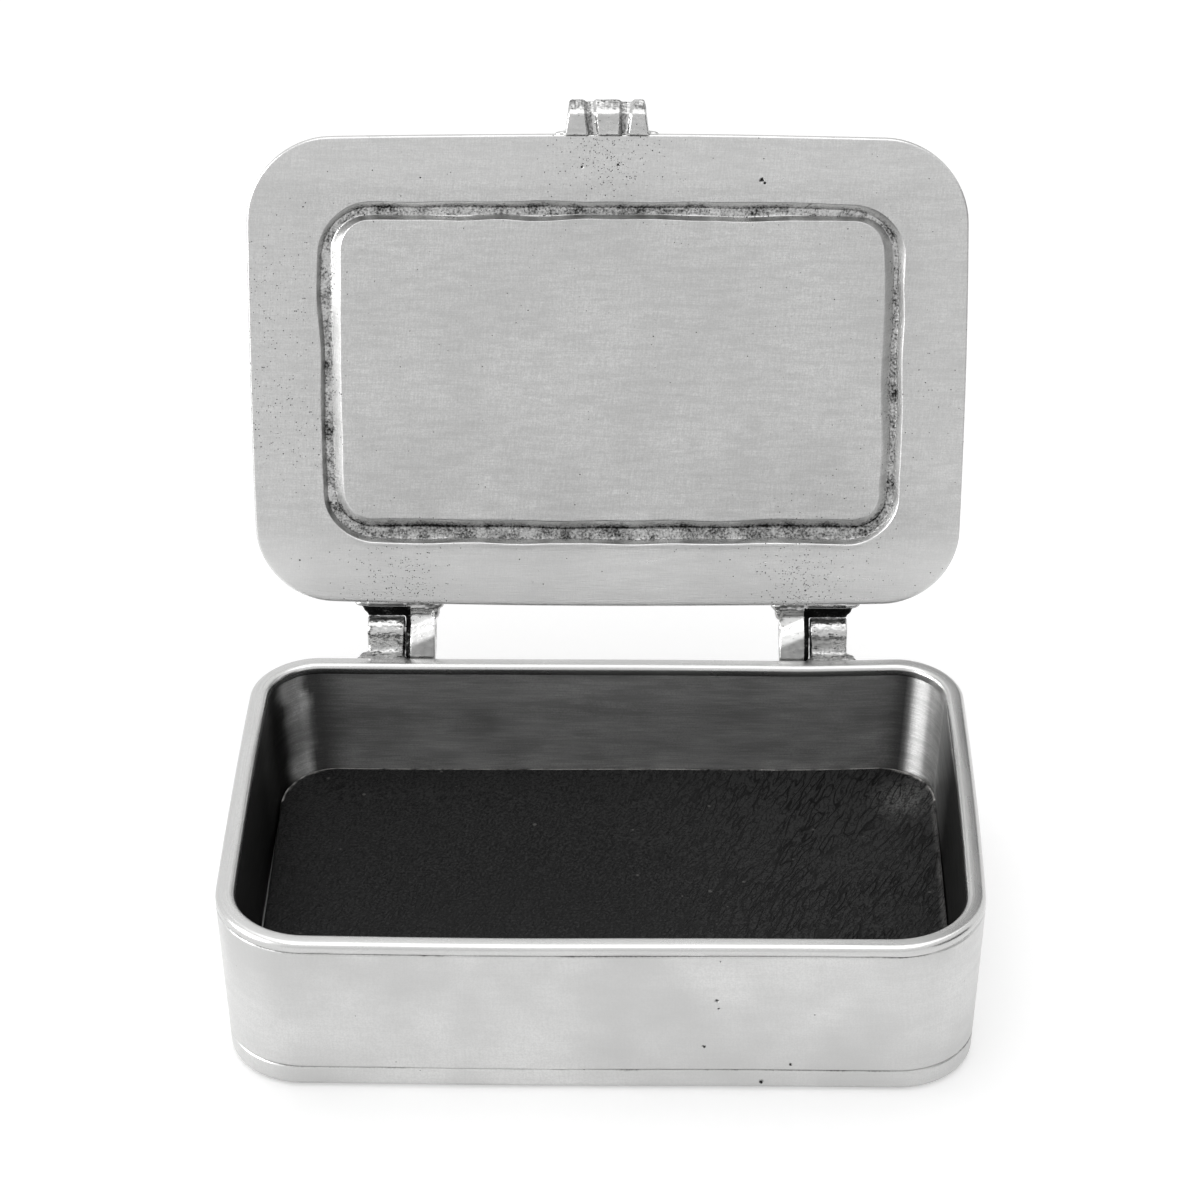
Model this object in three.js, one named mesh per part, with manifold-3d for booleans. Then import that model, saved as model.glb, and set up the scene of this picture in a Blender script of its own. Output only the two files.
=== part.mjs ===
// Hinged pewter keepsake box with a leather floor.
// A bottom plate, a wall band and a rim moulding are soldered into a tray. The lid is a beaded
// plate with a fluted thumb tab at the front, and it swings on two pinned hinges at the back.
// Millimetres, +Z up, +X to the right, +Y towards the hinges. The origin is the middle of the underside.
import * as THREE from 'three';
import { mergeVertices } from 'three/addons/utils/BufferGeometryUtils.js';
import Module from 'manifold-3d';

const wasm = await Module();
wasm.setup();

// Tray
const BOX_WIDTH = 100;
const BOX_DEPTH = 67;
const BOX_HEIGHT = 23; // underside to rim top
const BOX_CORNER = 10.3; // plan radius of the outer corners
const BOX_END_BOW = 0.45; // how far each short side bulges
const BOX_LONG_BOW = 0.3; // how far each long side bulges
const WALL = 2.5;
const PLATE_THICKNESS = 3.2;
const PLATE_EDGE_RADIUS = 2.1; // round lower edge that the box stands inside of
const RIM_HEIGHT = 1.1;
const RIM_ROUND = 0.75; // round of the rim's two upper edges
const SEAM_BEVEL = 0.18; // each side of a soldered seam, which shows as a fine line

// Leather floor
const LEATHER_THICKNESS = 2.0;
const LEATHER_MARGIN = 0.6; // cut a little smaller than the tray
const LEATHER_EDGE_ROUND = 0.45;

// Lid, measured closed
const LID_THICKNESS = 1.8;
const LID_CORNER = 10.4;
const LID_END_BOW = 0.5;
const LID_LONG_BOW = 0.8;
const LID_FRONT_OVERHANG = 0.3; // past the tray's front face
const LID_BACK_OVERHANG = -0.05; // a little short of the tray's back face
const LID_SIDE_OVERHANG = -0.1; // a little short of the tray's ends
const LID_SEAT_GAP = 0.2; // closed lid to rim
const LID_EDGE_ROUND = 0.6;
const BORDER_WIDTH = 9.2; // lid edge to the groove
const GROOVE_OUTER_WALL = 0.8; // sloping sides and floor of the groove pressed into the underside
const GROOVE_FLOOR = 0.9;
const GROOVE_INNER_WALL = 1.0;
const GROOVE_DEPTH = 1.05;
const GROOVE_CORNER = 8.4; // plan radius of the groove's outer edge
const GROOVE_BOW = 0.25; // its sides run straighter than the lid's
const BEAD_WIDTH = 4.2; // raised on top by the same pressing
const BEAD_HEIGHT = 1.15;

// Thumb tab
const TAB_OUTER_LOBE = 2.0;
const TAB_MIDDLE_LOBE = 3.8;
const TAB_FLUTE = 1.5; // width of the V-shaped flutes between the lobes
const TAB_FLUTE_DEPTH = 0.6;
const TAB_REACH = 4.6; // forward of the lid's edge, at the top
const TAB_LEAN = 1.3; // its front face leans out by this much towards the top
const TAB_DROP = 0.5; // below the lid's underside
const TAB_RISE = 0.8; // above the lid's top
const TAB_CORNER_ROUND = 0.6;
const TAB_EDGE_ROUND = 0.25;

// Hinges
const OPEN_ANGLE_DEG = 105.5;
const HINGE_OUT = 4.1; // pin behind the tray's back face
const HINGE_UP = 1.8; // pin above the rim
const HINGE_INNER_X = 24.5; // inner end of each hinge from the middle of the box
const EAR_WIDTH = 3.5; // lid's ear on the pin
const EAR_RADIUS = 2.3;
const HEEL_REACH = 4.2; // tail of the ear, which meets the wall and stops the open lid
const HEEL_ROUND = 1.1;
const KNUCKLE_GAP = 0.9; // pin showing between ear and knuckle
const KNUCKLE_WIDTH = 5.2; // tray's knuckle on the pin
const KNUCKLE_RADIUS = 2.1;
const KNUCKLE_DROP = 6.5; // how far its leaf runs down the back wall
const KNUCKLE_LEAF = 1.6; // thickness of that leaf
const LEAF_CLEARANCE = 0.5; // lid's leaf to the tray's knuckle
const HINGE_EDGE_ROUND = 0.3;
const PIN_RADIUS = 0.85;
const PIN_RUNNING_GAP = 0.1; // ear on pin
const PIN_SEAT_GAP = 0.06; // pin in knuckle
const PIN_RECESS = 0.2; // pin ends lie a little inside
const STOP_GAP = 0.2; // heel to wall at full opening
const SOLDER_GAP = 0.12; // film of solder under a cast fitting

// Facets
const CORNER_STEPS = 7;
const SIDE_STEPS = 4;
const ROUND_STEPS = 4;
const MOULDING_STEPS = 7;
const PIN_SIDES = 24;

// Values worked out from the sizes above
const OPEN_ANGLE = THREE.MathUtils.degToRad(OPEN_ANGLE_DEG);
const QUARTER = Math.PI / 2;
const HINGE_Y = BOX_DEPTH / 2 + HINGE_OUT;
const HINGE_Z = BOX_HEIGHT + HINGE_UP;
const LID_UNDERSIDE = BOX_HEIGHT + LID_SEAT_GAP;
const LID_TOP = LID_UNDERSIDE + LID_THICKNESS;
const LID_FRONT_Y = -BOX_DEPTH / 2 - LID_FRONT_OVERHANG;
const LID_BACK_Y = BOX_DEPTH / 2 + LID_BACK_OVERHANG;
const KNUCKLE_INNER_X = HINGE_INNER_X + EAR_WIDTH + KNUCKLE_GAP;
const HINGE_OUTER_X = KNUCKLE_INNER_X + KNUCKLE_WIDTH;
const SEAT_OVERLAP = 2; // a fitting is drawn this far into what it sits on, then cut back to its seat
const TALL = BOX_HEIGHT * 2; // half height of the prisms that cut the seats

const BOX_PLAN = {
  width: BOX_WIDTH,
  depth: BOX_DEPTH,
  corner: BOX_CORNER,
  endBow: BOX_END_BOW,
  longBow: BOX_LONG_BOW,
  centreY: 0,
};
const LID_PLAN = {
  width: BOX_WIDTH + 2 * LID_SIDE_OVERHANG,
  depth: LID_BACK_Y - LID_FRONT_Y,
  corner: LID_CORNER,
  endBow: LID_END_BOW,
  longBow: LID_LONG_BOW,
  centreY: (LID_BACK_Y + LID_FRONT_Y) / 2,
};

const pewter = new THREE.MeshStandardMaterial({ color: 0xb8b9ba, roughness: 0.36, metalness: 1 });
const brightPewter = new THREE.MeshStandardMaterial({ color: 0xc6c7c8, roughness: 0.25, metalness: 1 });
const steel = new THREE.MeshStandardMaterial({ color: 0x8f9091, roughness: 0.4, metalness: 1 });
const leather = new THREE.MeshStandardMaterial({ color: 0x1b1b1c, roughness: 0.62, metalness: 0 });

// Plan outlines

// A plan drawn in by a margin on every side. A negative margin grows it.
function inset(plan, margin) {
  return {
    ...plan,
    width: plan.width - 2 * margin,
    depth: plan.depth - 2 * margin,
    corner: plan.corner - margin,
  };
}

// Arc of a side that bulges by bow over a chord of twice halfChord.
function bowedSide(halfChord, bow) {
  const radius = (halfChord ** 2 + bow ** 2) / (2 * bow);
  return { radius, bow, halfAngle: Math.asin(halfChord / radius) };
}

// Points of a rectangle with round corners and bowed sides, anticlockwise from above.
function planOutline(plan) {
  const cornerX = plan.width / 2 - plan.endBow - plan.corner;
  const cornerY = plan.depth / 2 - plan.longBow - plan.corner;
  const ends = bowedSide(cornerY, plan.endBow);
  const longs = bowedSide(cornerX, plan.longBow);
  const points = [];
  for (let turn = 0; turn < 4; turn++) {
    const facing = turn * QUARTER;
    const isEnd = turn % 2 === 0;
    const side = isEnd ? ends : longs;
    const nextSide = isEnd ? longs : ends;
    const reach = (isEnd ? cornerX : cornerY) + side.bow - side.radius;
    const sideArc = new THREE.EllipseCurve(
      reach * Math.cos(facing), reach * Math.sin(facing),
      side.radius + plan.corner, side.radius + plan.corner,
      facing - side.halfAngle, facing + side.halfAngle,
    );
    const diagonal = facing + QUARTER / 2;
    const cornerArc = new THREE.EllipseCurve(
      Math.sign(Math.cos(diagonal)) * cornerX, Math.sign(Math.sin(diagonal)) * cornerY,
      plan.corner, plan.corner,
      facing + side.halfAngle, facing + QUARTER - nextSide.halfAngle,
    );
    points.push(...sideArc.getPoints(SIDE_STEPS).slice(0, -1));
    points.push(...cornerArc.getPoints(CORNER_STEPS).slice(0, -1));
  }
  return points.map((point) => [point.x, point.y + plan.centreY]);
}

// Skin over plan outlines, each at its own height, in the order given: up the outside, then in over
// the top. A ring returns to its first outline. Anything else is closed by flat ends.
function loft(sections, isRing = false) {
  const outlines = sections.map(({ plan, z }) => planOutline(plan).map(([x, y]) => [x, y, z]));
  const count = outlines[0].length;
  const positions = outlines.flat(2);
  const index = [];
  const spans = isRing ? outlines.length : outlines.length - 1;
  for (let span = 0; span < spans; span++) {
    const here = span * count;
    const next = ((span + 1) % outlines.length) * count;
    for (let i = 0; i < count; i++) {
      const j = (i + 1) % count;
      index.push(here + i, here + j, next + j);
      index.push(here + i, next + j, next + i);
    }
  }
  if (!isRing) {
    const first = sections[0];
    const last = sections[sections.length - 1];
    const firstCentre = positions.length / 3;
    positions.push(0, first.plan.centreY, first.z, 0, last.plan.centreY, last.z);
    const lastRow = (outlines.length - 1) * count;
    for (let i = 0; i < count; i++) {
      const j = (i + 1) % count;
      index.push(firstCentre, j, i);
      index.push(firstCentre + 1, lastRow + i, lastRow + j);
    }
  }
  const geometry = new THREE.BufferGeometry();
  geometry.setAttribute('position', new THREE.Float32BufferAttribute(positions, 3));
  geometry.setIndex(index);
  return geometry;
}

// Sections of a quarter round between two faces, as margins and heights on an ellipse.
function roundSections(plan, centreMargin, centreZ, radius, fromAngle, toAngle) {
  const sections = [];
  for (let step = 0; step <= ROUND_STEPS; step++) {
    const angle = fromAngle + ((toAngle - fromAngle) * step) / ROUND_STEPS;
    sections.push({
      plan: inset(plan, centreMargin - radius * Math.cos(angle)),
      z: centreZ + radius * Math.sin(angle),
    });
  }
  return sections;
}

// Sections of a half-round moulding on a plan, running in over its width.
function mouldingSections(plan, middleMargin, width, z, height) {
  const sections = [];
  for (let step = 0; step <= MOULDING_STEPS; step++) {
    const angle = (Math.PI * step) / MOULDING_STEPS;
    sections.push({
      plan: inset(plan, middleMargin - (width / 2) * Math.cos(angle)),
      z: z + height * Math.sin(angle),
    });
  }
  return sections;
}

// Joining and cutting

function toSolid(geometry) {
  const bare = geometry.clone();
  bare.deleteAttribute('normal');
  bare.deleteAttribute('uv');
  const merged = mergeVertices(bare, 1e-5);
  return new wasm.Manifold(new wasm.Mesh({
    numProp: 3,
    vertProperties: merged.attributes.position.array,
    triVerts: new Uint32Array(merged.index.array),
  }));
}

function toGeometry(solid) {
  const mesh = solid.getMesh();
  const geometry = new THREE.BufferGeometry();
  geometry.setAttribute('position', new THREE.BufferAttribute(mesh.vertProperties, 3));
  geometry.setIndex(new THREE.BufferAttribute(mesh.triVerts, 1));
  return geometry;
}

// A side profile, drawn with Y to the right and Z up, carried along X. An edge round of 0 leaves it sharp.
function acrossX(profile, fromX, toX, edgeRound) {
  const geometry = new THREE.ExtrudeGeometry(profile, {
    depth: toX - fromX - 2 * edgeRound,
    bevelEnabled: edgeRound > 0,
    bevelThickness: edgeRound,
    bevelSize: edgeRound,
    bevelOffset: -edgeRound,
    bevelSegments: 2,
    curveSegments: 6,
  });
  const yAxis = new THREE.Vector3(0, 1, 0);
  const zAxis = new THREE.Vector3(0, 0, 1);
  const xAxis = new THREE.Vector3(1, 0, 0);
  geometry.applyMatrix4(new THREE.Matrix4().makeBasis(yAxis, zAxis, xAxis));
  geometry.translate(fromX + edgeRound, 0, 0);
  return toSolid(geometry);
}

// A round bar along the hinge line.
function hingeBar(radius, fromX, toX) {
  const bar = new THREE.CylinderGeometry(radius, radius, toX - fromX, PIN_SIDES);
  bar.rotateZ(QUARTER);
  bar.translate((fromX + toX) / 2, HINGE_Y, HINGE_Z);
  return bar;
}

// What a fitting is cut by, so that it follows the edge it is soldered to.
function seatPrism(plan) {
  const grown = inset(plan, -SOLDER_GAP);
  return toSolid(loft([{ plan: grown, z: -TALL }, { plan: grown, z: TALL }]));
}

// Tray

function bottomPlate() {
  const rounded = roundSections(
    BOX_PLAN, PLATE_EDGE_RADIUS, PLATE_EDGE_RADIUS, PLATE_EDGE_RADIUS, -QUARTER, 0,
  );
  return loft([
    ...rounded,
    { plan: BOX_PLAN, z: PLATE_THICKNESS - SEAM_BEVEL },
    { plan: inset(BOX_PLAN, SEAM_BEVEL), z: PLATE_THICKNESS },
  ]);
}

function wallBand() {
  const foot = PLATE_THICKNESS;
  const head = BOX_HEIGHT - RIM_HEIGHT;
  const inner = inset(BOX_PLAN, WALL);
  return loft([
    { plan: inset(BOX_PLAN, SEAM_BEVEL), z: foot },
    { plan: BOX_PLAN, z: foot + SEAM_BEVEL },
    { plan: BOX_PLAN, z: head - SEAM_BEVEL },
    { plan: inset(BOX_PLAN, SEAM_BEVEL), z: head },
    { plan: inner, z: head },
    { plan: inner, z: foot },
  ], true);
}

function rimMoulding() {
  const foot = BOX_HEIGHT - RIM_HEIGHT;
  const roundZ = BOX_HEIGHT - RIM_ROUND;
  return loft([
    { plan: inset(BOX_PLAN, SEAM_BEVEL), z: foot },
    { plan: BOX_PLAN, z: foot + SEAM_BEVEL },
    ...roundSections(BOX_PLAN, RIM_ROUND, roundZ, RIM_ROUND, 0, QUARTER),
    ...roundSections(BOX_PLAN, WALL - RIM_ROUND, roundZ, RIM_ROUND, QUARTER, Math.PI),
    { plan: inset(BOX_PLAN, WALL), z: foot },
  ], true);
}

function leatherFloor() {
  const plan = inset(BOX_PLAN, WALL + LEATHER_MARGIN);
  const top = PLATE_THICKNESS + LEATHER_THICKNESS;
  return loft([
    { plan, z: PLATE_THICKNESS },
    ...roundSections(plan, LEATHER_EDGE_ROUND, top - LEATHER_EDGE_ROUND, LEATHER_EDGE_ROUND, 0, QUARTER),
  ]);
}

// Profile of a tray knuckle: a barrel on the pin, bridged to a leaf down the back wall.
function knuckleProfile() {
  const wallY = BOX_DEPTH / 2;
  const leafY = wallY + KNUCKLE_LEAF;
  const footZ = BOX_HEIGHT - KNUCKLE_DROP;
  const bridgeZ = BOX_HEIGHT - LID_SEAT_GAP * 2;
  const frontAngle = Math.PI * 1.25;
  const frontY = HINGE_Y + KNUCKLE_RADIUS * Math.cos(frontAngle);
  const profile = new THREE.Shape();
  profile.moveTo(wallY - SEAT_OVERLAP, footZ);
  profile.lineTo(wallY + KNUCKLE_LEAF / 2, footZ);
  profile.quadraticCurveTo(leafY, footZ, leafY, footZ + KNUCKLE_LEAF / 2);
  profile.bezierCurveTo(
    leafY, BOX_HEIGHT - KNUCKLE_RADIUS,
    HINGE_Y + KNUCKLE_RADIUS, HINGE_Z - KNUCKLE_RADIUS * 2,
    HINGE_Y + KNUCKLE_RADIUS, HINGE_Z,
  );
  profile.absarc(HINGE_Y, HINGE_Z, KNUCKLE_RADIUS, 0, frontAngle, false);
  profile.quadraticCurveTo(frontY - KNUCKLE_LEAF / 2, bridgeZ, wallY, bridgeZ);
  profile.lineTo(wallY - SEAT_OVERLAP, bridgeZ);
  return profile;
}

function trayKnuckle() {
  const body = acrossX(knuckleProfile(), KNUCKLE_INNER_X, HINGE_OUTER_X, HINGE_EDGE_ROUND);
  const boreRadius = PIN_RADIUS + PIN_SEAT_GAP;
  const bore = toSolid(hingeBar(boreRadius, KNUCKLE_INNER_X - WALL, HINGE_OUTER_X + WALL));
  return body.subtract(bore).subtract(seatPrism(BOX_PLAN));
}

function hingePin() {
  return toSolid(hingeBar(PIN_RADIUS, HINGE_INNER_X + PIN_RECESS, HINGE_OUTER_X - PIN_RECESS));
}

// Lid, modelled closed

// The groove and the bead share a plan of their own, with tighter corners than the lid's edge.
const GROOVE_PLAN = {
  ...inset(LID_PLAN, BORDER_WIDTH),
  corner: GROOVE_CORNER,
  endBow: GROOVE_BOW,
  longBow: GROOVE_BOW,
};
const GROOVE_FLOOR_END = GROOVE_OUTER_WALL + GROOVE_FLOOR;
const GROOVE_WIDTH = GROOVE_FLOOR_END + GROOVE_INNER_WALL;

// Sections of the groove in the lid's underside, from its inner lip out to its outer lip.
function grooveSections() {
  const floorZ = LID_UNDERSIDE + GROOVE_DEPTH;
  return [
    { plan: inset(GROOVE_PLAN, GROOVE_WIDTH), z: LID_UNDERSIDE },
    { plan: inset(GROOVE_PLAN, GROOVE_FLOOR_END), z: floorZ },
    { plan: inset(GROOVE_PLAN, GROOVE_OUTER_WALL), z: floorZ },
    { plan: GROOVE_PLAN, z: LID_UNDERSIDE },
  ];
}

function lidPlate() {
  const edgeUnder = LID_UNDERSIDE + LID_EDGE_ROUND;
  const edgeOver = LID_TOP - LID_EDGE_ROUND;
  return loft([
    ...grooveSections(),
    ...roundSections(LID_PLAN, LID_EDGE_ROUND, edgeUnder, LID_EDGE_ROUND, -QUARTER, 0),
    ...roundSections(LID_PLAN, LID_EDGE_ROUND, edgeOver, LID_EDGE_ROUND, 0, QUARTER),
    ...mouldingSections(GROOVE_PLAN, GROOVE_WIDTH / 2, BEAD_WIDTH, LID_TOP, BEAD_HEIGHT),
  ]);
}

// Corners of the thumb tab's face, with Y to the right and Z up.
const TAB_TIP = new THREE.Vector2(LID_FRONT_Y - TAB_REACH, LID_TOP + TAB_RISE);
const TAB_CHIN = new THREE.Vector2(TAB_TIP.x + TAB_LEAN, LID_UNDERSIDE - TAB_DROP);
const TAB_THROAT = new THREE.Vector2(LID_FRONT_Y - LID_FRONT_OVERHANG - TAB_DROP, TAB_CHIN.y);

// Profile of the thumb tab: a block with a leaning front face and a hollow at its root.
function tabProfile() {
  const rootY = LID_FRONT_Y + SEAT_OVERLAP;
  const round = new THREE.Vector2().subVectors(TAB_CHIN, TAB_TIP).setLength(TAB_CORNER_ROUND);
  const profile = new THREE.Shape();
  profile.moveTo(rootY, LID_TOP);
  profile.lineTo(LID_FRONT_Y, LID_TOP);
  profile.quadraticCurveTo(LID_FRONT_Y - TAB_RISE, TAB_TIP.y, LID_FRONT_Y - 2 * TAB_RISE, TAB_TIP.y);
  profile.lineTo(TAB_TIP.x + TAB_CORNER_ROUND, TAB_TIP.y);
  profile.quadraticCurveTo(TAB_TIP.x, TAB_TIP.y, TAB_TIP.x + round.x, TAB_TIP.y + round.y);
  profile.lineTo(TAB_CHIN.x - round.x, TAB_CHIN.y - round.y);
  profile.quadraticCurveTo(TAB_CHIN.x, TAB_CHIN.y, TAB_CHIN.x + TAB_CORNER_ROUND, TAB_CHIN.y);
  profile.lineTo(TAB_THROAT.x, TAB_THROAT.y);
  profile.quadraticCurveTo(TAB_THROAT.x + TAB_DROP, TAB_THROAT.y, TAB_THROAT.x + TAB_DROP, LID_UNDERSIDE);
  profile.lineTo(rootY, LID_UNDERSIDE);
  return profile;
}

// A bar of diamond section along one line of the profile, which cuts a V-shaped flute there.
function fluteCutter(from, to, x) {
  const run = new THREE.Vector2().subVectors(to, from);
  const halfWidth = TAB_FLUTE / 2;
  const bar = new THREE.CylinderGeometry(halfWidth, halfWidth, run.length() + 2 * SEAT_OVERLAP, 4);
  bar.scale(1, 1, TAB_FLUTE_DEPTH / halfWidth);
  bar.rotateX(run.angle());
  bar.translate(x, (from.x + to.x) / 2, (from.y + to.y) / 2);
  return toSolid(bar);
}

function thumbTab() {
  const fluteX = (TAB_MIDDLE_LOBE + TAB_FLUTE) / 2;
  const halfWidth = fluteX + TAB_FLUTE / 2 + TAB_OUTER_LOBE;
  let tab = acrossX(tabProfile(), -halfWidth, halfWidth, TAB_EDGE_ROUND);
  for (const x of [-fluteX, fluteX]) {
    tab = tab.subtract(fluteCutter(TAB_TIP, TAB_CHIN, x)).subtract(fluteCutter(TAB_CHIN, TAB_THROAT, x));
  }
  return tab.subtract(seatPrism(LID_PLAN));
}

// Drop of the ear's heel that brings it against the tray's back wall at full opening.
const HEEL_DROP = (HINGE_OUT - STOP_GAP + HEEL_REACH * Math.cos(OPEN_ANGLE)) / Math.sin(OPEN_ANGLE);

// Profile of the ear: from the lid's back edge over the pin to the heel.
function earProfile() {
  const rootY = LID_BACK_Y - SEAT_OVERLAP;
  const heelY = HINGE_Y + HEEL_REACH;
  const heelZ = HINGE_Z - HEEL_DROP;
  const frontY = HINGE_Y - KNUCKLE_RADIUS - LEAF_CLEARANCE;
  const profile = new THREE.Shape();
  profile.moveTo(rootY, LID_UNDERSIDE);
  profile.lineTo(frontY, LID_UNDERSIDE);
  profile.lineTo(heelY - HEEL_ROUND, heelZ);
  profile.quadraticCurveTo(heelY, heelZ, heelY, heelZ + HEEL_ROUND);
  profile.quadraticCurveTo(heelY, HINGE_Z + EAR_RADIUS, HINGE_Y, HINGE_Z + EAR_RADIUS);
  profile.quadraticCurveTo(frontY, HINGE_Z + EAR_RADIUS, LID_BACK_Y, LID_TOP);
  profile.lineTo(rootY, LID_TOP);
  return profile;
}

// Profile of the leaf along the lid's back edge, which stands clear of the tray's knuckle.
function leafProfile() {
  const rootY = LID_BACK_Y - SEAT_OVERLAP;
  const endY = HINGE_Y - KNUCKLE_RADIUS - LEAF_CLEARANCE;
  const endRound = LID_THICKNESS / 2;
  const profile = new THREE.Shape();
  profile.moveTo(rootY, LID_UNDERSIDE);
  profile.lineTo(endY - endRound, LID_UNDERSIDE);
  profile.quadraticCurveTo(endY, LID_UNDERSIDE, endY, LID_UNDERSIDE + endRound);
  profile.quadraticCurveTo(endY, LID_TOP, LID_BACK_Y, LID_TOP);
  profile.lineTo(rootY, LID_TOP);
  return profile;
}

function lidHinge() {
  const earTo = HINGE_INNER_X + EAR_WIDTH;
  const ear = acrossX(earProfile(), HINGE_INNER_X, earTo, HINGE_EDGE_ROUND);
  const leaf = acrossX(leafProfile(), HINGE_INNER_X, HINGE_OUTER_X, HINGE_EDGE_ROUND);
  const boreRadius = PIN_RADIUS + PIN_RUNNING_GAP;
  const bore = toSolid(hingeBar(boreRadius, HINGE_INNER_X - WALL, earTo + WALL));
  return ear.add(leaf).subtract(bore).subtract(seatPrism(LID_PLAN));
}

// Assembly

function addPiece(group, name, geometry, material) {
  const flat = geometry.index ? geometry.toNonIndexed() : geometry;
  flat.computeVertexNormals();
  const piece = new THREE.Mesh(flat, material);
  piece.name = name;
  group.add(piece);
}

// A hinge piece made for the right-hand side, and its mirror image for the left.
function addHingePair(group, name, solid, material) {
  addPiece(group, `${name}_right`, toGeometry(solid), material);
  addPiece(group, `${name}_left`, toGeometry(solid.mirror([1, 0, 0])), material);
}

const box = new THREE.Group();

const tray = new THREE.Group();
addPiece(tray, 'bottom_plate', bottomPlate(), pewter);
addPiece(tray, 'wall_band', wallBand(), pewter);
addPiece(tray, 'rim_moulding', rimMoulding(), brightPewter);
addPiece(tray, 'leather_floor', leatherFloor(), leather);
addHingePair(tray, 'tray_knuckle', trayKnuckle(), pewter);
addHingePair(tray, 'hinge_pin', hingePin(), steel);
box.add(tray);

// The lid stands open: its closed shapes turn back about the hinge line.
const lidSwing = new THREE.Group();
lidSwing.position.set(0, HINGE_Y, HINGE_Z);
lidSwing.rotation.x = -OPEN_ANGLE;
const lid = new THREE.Group();
lid.position.set(0, -HINGE_Y, -HINGE_Z);
addPiece(lid, 'lid_plate', lidPlate(), pewter);
addPiece(lid, 'thumb_tab', toGeometry(thumbTab()), brightPewter);
addHingePair(lid, 'lid_hinge', lidHinge(), brightPewter);
lidSwing.add(lid);
box.add(lidSwing);

export default box;
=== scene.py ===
"""Looks of a hinged pewter keepsake box with a leather floor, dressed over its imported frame.

Pieces are drawn in millimetres, the lid's in its closed place. Each is then moved to its place in the
frame and scaled to metres before it becomes a mesh.
"""

import logging
import math
from dataclasses import dataclass, fields, replace
from enum import Enum
from typing import Iterable, Sequence

import bmesh
import bpy
from bmesh.types import BMEdge, BMesh, BMVert
from bpy.types import ID, Material, Mesh, Node, NodeSocket, NodeTree, Object
from mathutils import Matrix, Vector, noise


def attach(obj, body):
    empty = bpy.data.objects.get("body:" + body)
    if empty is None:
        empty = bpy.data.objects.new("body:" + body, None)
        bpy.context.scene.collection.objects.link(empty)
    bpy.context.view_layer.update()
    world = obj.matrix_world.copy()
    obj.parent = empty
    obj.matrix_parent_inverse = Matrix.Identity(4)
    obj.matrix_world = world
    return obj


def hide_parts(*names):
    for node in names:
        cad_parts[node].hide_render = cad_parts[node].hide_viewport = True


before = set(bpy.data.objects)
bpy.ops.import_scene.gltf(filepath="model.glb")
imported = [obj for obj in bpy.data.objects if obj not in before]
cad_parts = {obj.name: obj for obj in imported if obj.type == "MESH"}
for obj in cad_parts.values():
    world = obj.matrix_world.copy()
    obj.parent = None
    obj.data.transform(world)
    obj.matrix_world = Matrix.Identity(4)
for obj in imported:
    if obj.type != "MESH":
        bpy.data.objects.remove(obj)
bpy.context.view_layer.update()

LOG = logging.getLogger("keepsake_box")
MM = 0.001
IMAGE_WIDTH = 1200
BRUSH_MAP = "brush"
# Dark oxide in seams and hollows; on the groove walls, the hinges and the tab it also carries painted shade,
# and on the leather it marks the raw edge.
RECESS = "recess"
PITTING = "pitting"
# Attribute of painted shade, which darkens the metal's colour.
SHADE = "shade"
# Attribute of painted highlight, which pales the metal's colour.
PAINTED_HIGHLIGHT = "painted_highlight"
END_STEPS = 14
CORNER_STEPS = 16
LONG_STEPS = 24
QUARTER_STEPS = END_STEPS + CORNER_STEPS + LONG_STEPS
STATIONS = 4 * QUARTER_STEPS
LEAST_CORNER = 0.5
WOBBLE_LENGTH = 7.0
HAND_SEED = 4
SEAM_PATCH = 16.0
SEAM_FLECK = 4.0
SIDE_FROM = 0.7
SIDE_FULL = 0.95
STAIN_SIZE = 1.1
STAIN_LIMIT = 0.85
SCRATCH_LENGTH = 1.8
SCRATCH_WIDTH = 0.22
SHARP_ANGLE = math.radians(50)
Colour = tuple[float, float, float]
Corners = Sequence[tuple[float, float]]


class Body(Enum):
    """Moving bodies of the box."""

    TRAY = "tray"
    LID = "lid"


class Slot(Enum):
    """Material slots of the record."""

    SHEET = "pewter_sheet"
    CAST = "pewter_cast"
    WIRE = "pin_wire"
    LEATHER = "black_leather"


class Ends(Enum):
    """How a loft is closed."""

    RING = "back to its first outline"
    CAPPED = "flat at both ends"


class Brushing(Enum):
    """Which way a piece was brushed."""

    AROUND = "round the outline"
    ALONG = "along the length"


class GrooveRow(Enum):
    """Parts of the lid's groove: wobble seed, and the painted shade that the front and the back add,
    negative for a painted highlight.
    """

    INNER = (1.0, -0.6, 0.3)
    FLOOR = (3.0, 0.0, 0.0)
    OUTER = (6.0, 0.14, 0.0)

    def __init__(self, seed: float, front_painted_shade: float, back_painted_shade: float) -> None:
        """Names the three values."""
        self.seed = seed
        self.front_painted_shade = front_painted_shade
        self.back_painted_shade = back_painted_shade


class Side(Enum):
    """Left or right hinge, as the sign of X."""

    LEFT = -1
    RIGHT = 1

    @property
    def suffix(self) -> str:
        """The side's name in piece names."""
        return self.name.lower()


# Outlines and lofts


def ramp(value: float, low: float, high: float) -> float:
    """Share of the way from low to high, kept between 0 and 1."""
    return max(0.0, min(1.0, (value - low) / (high - low)))


def fall(value: float, zero: float, width: float) -> float:
    """1 well below a place, then down over a width to 0 there."""
    return ramp(zero, value, value + width)


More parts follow.
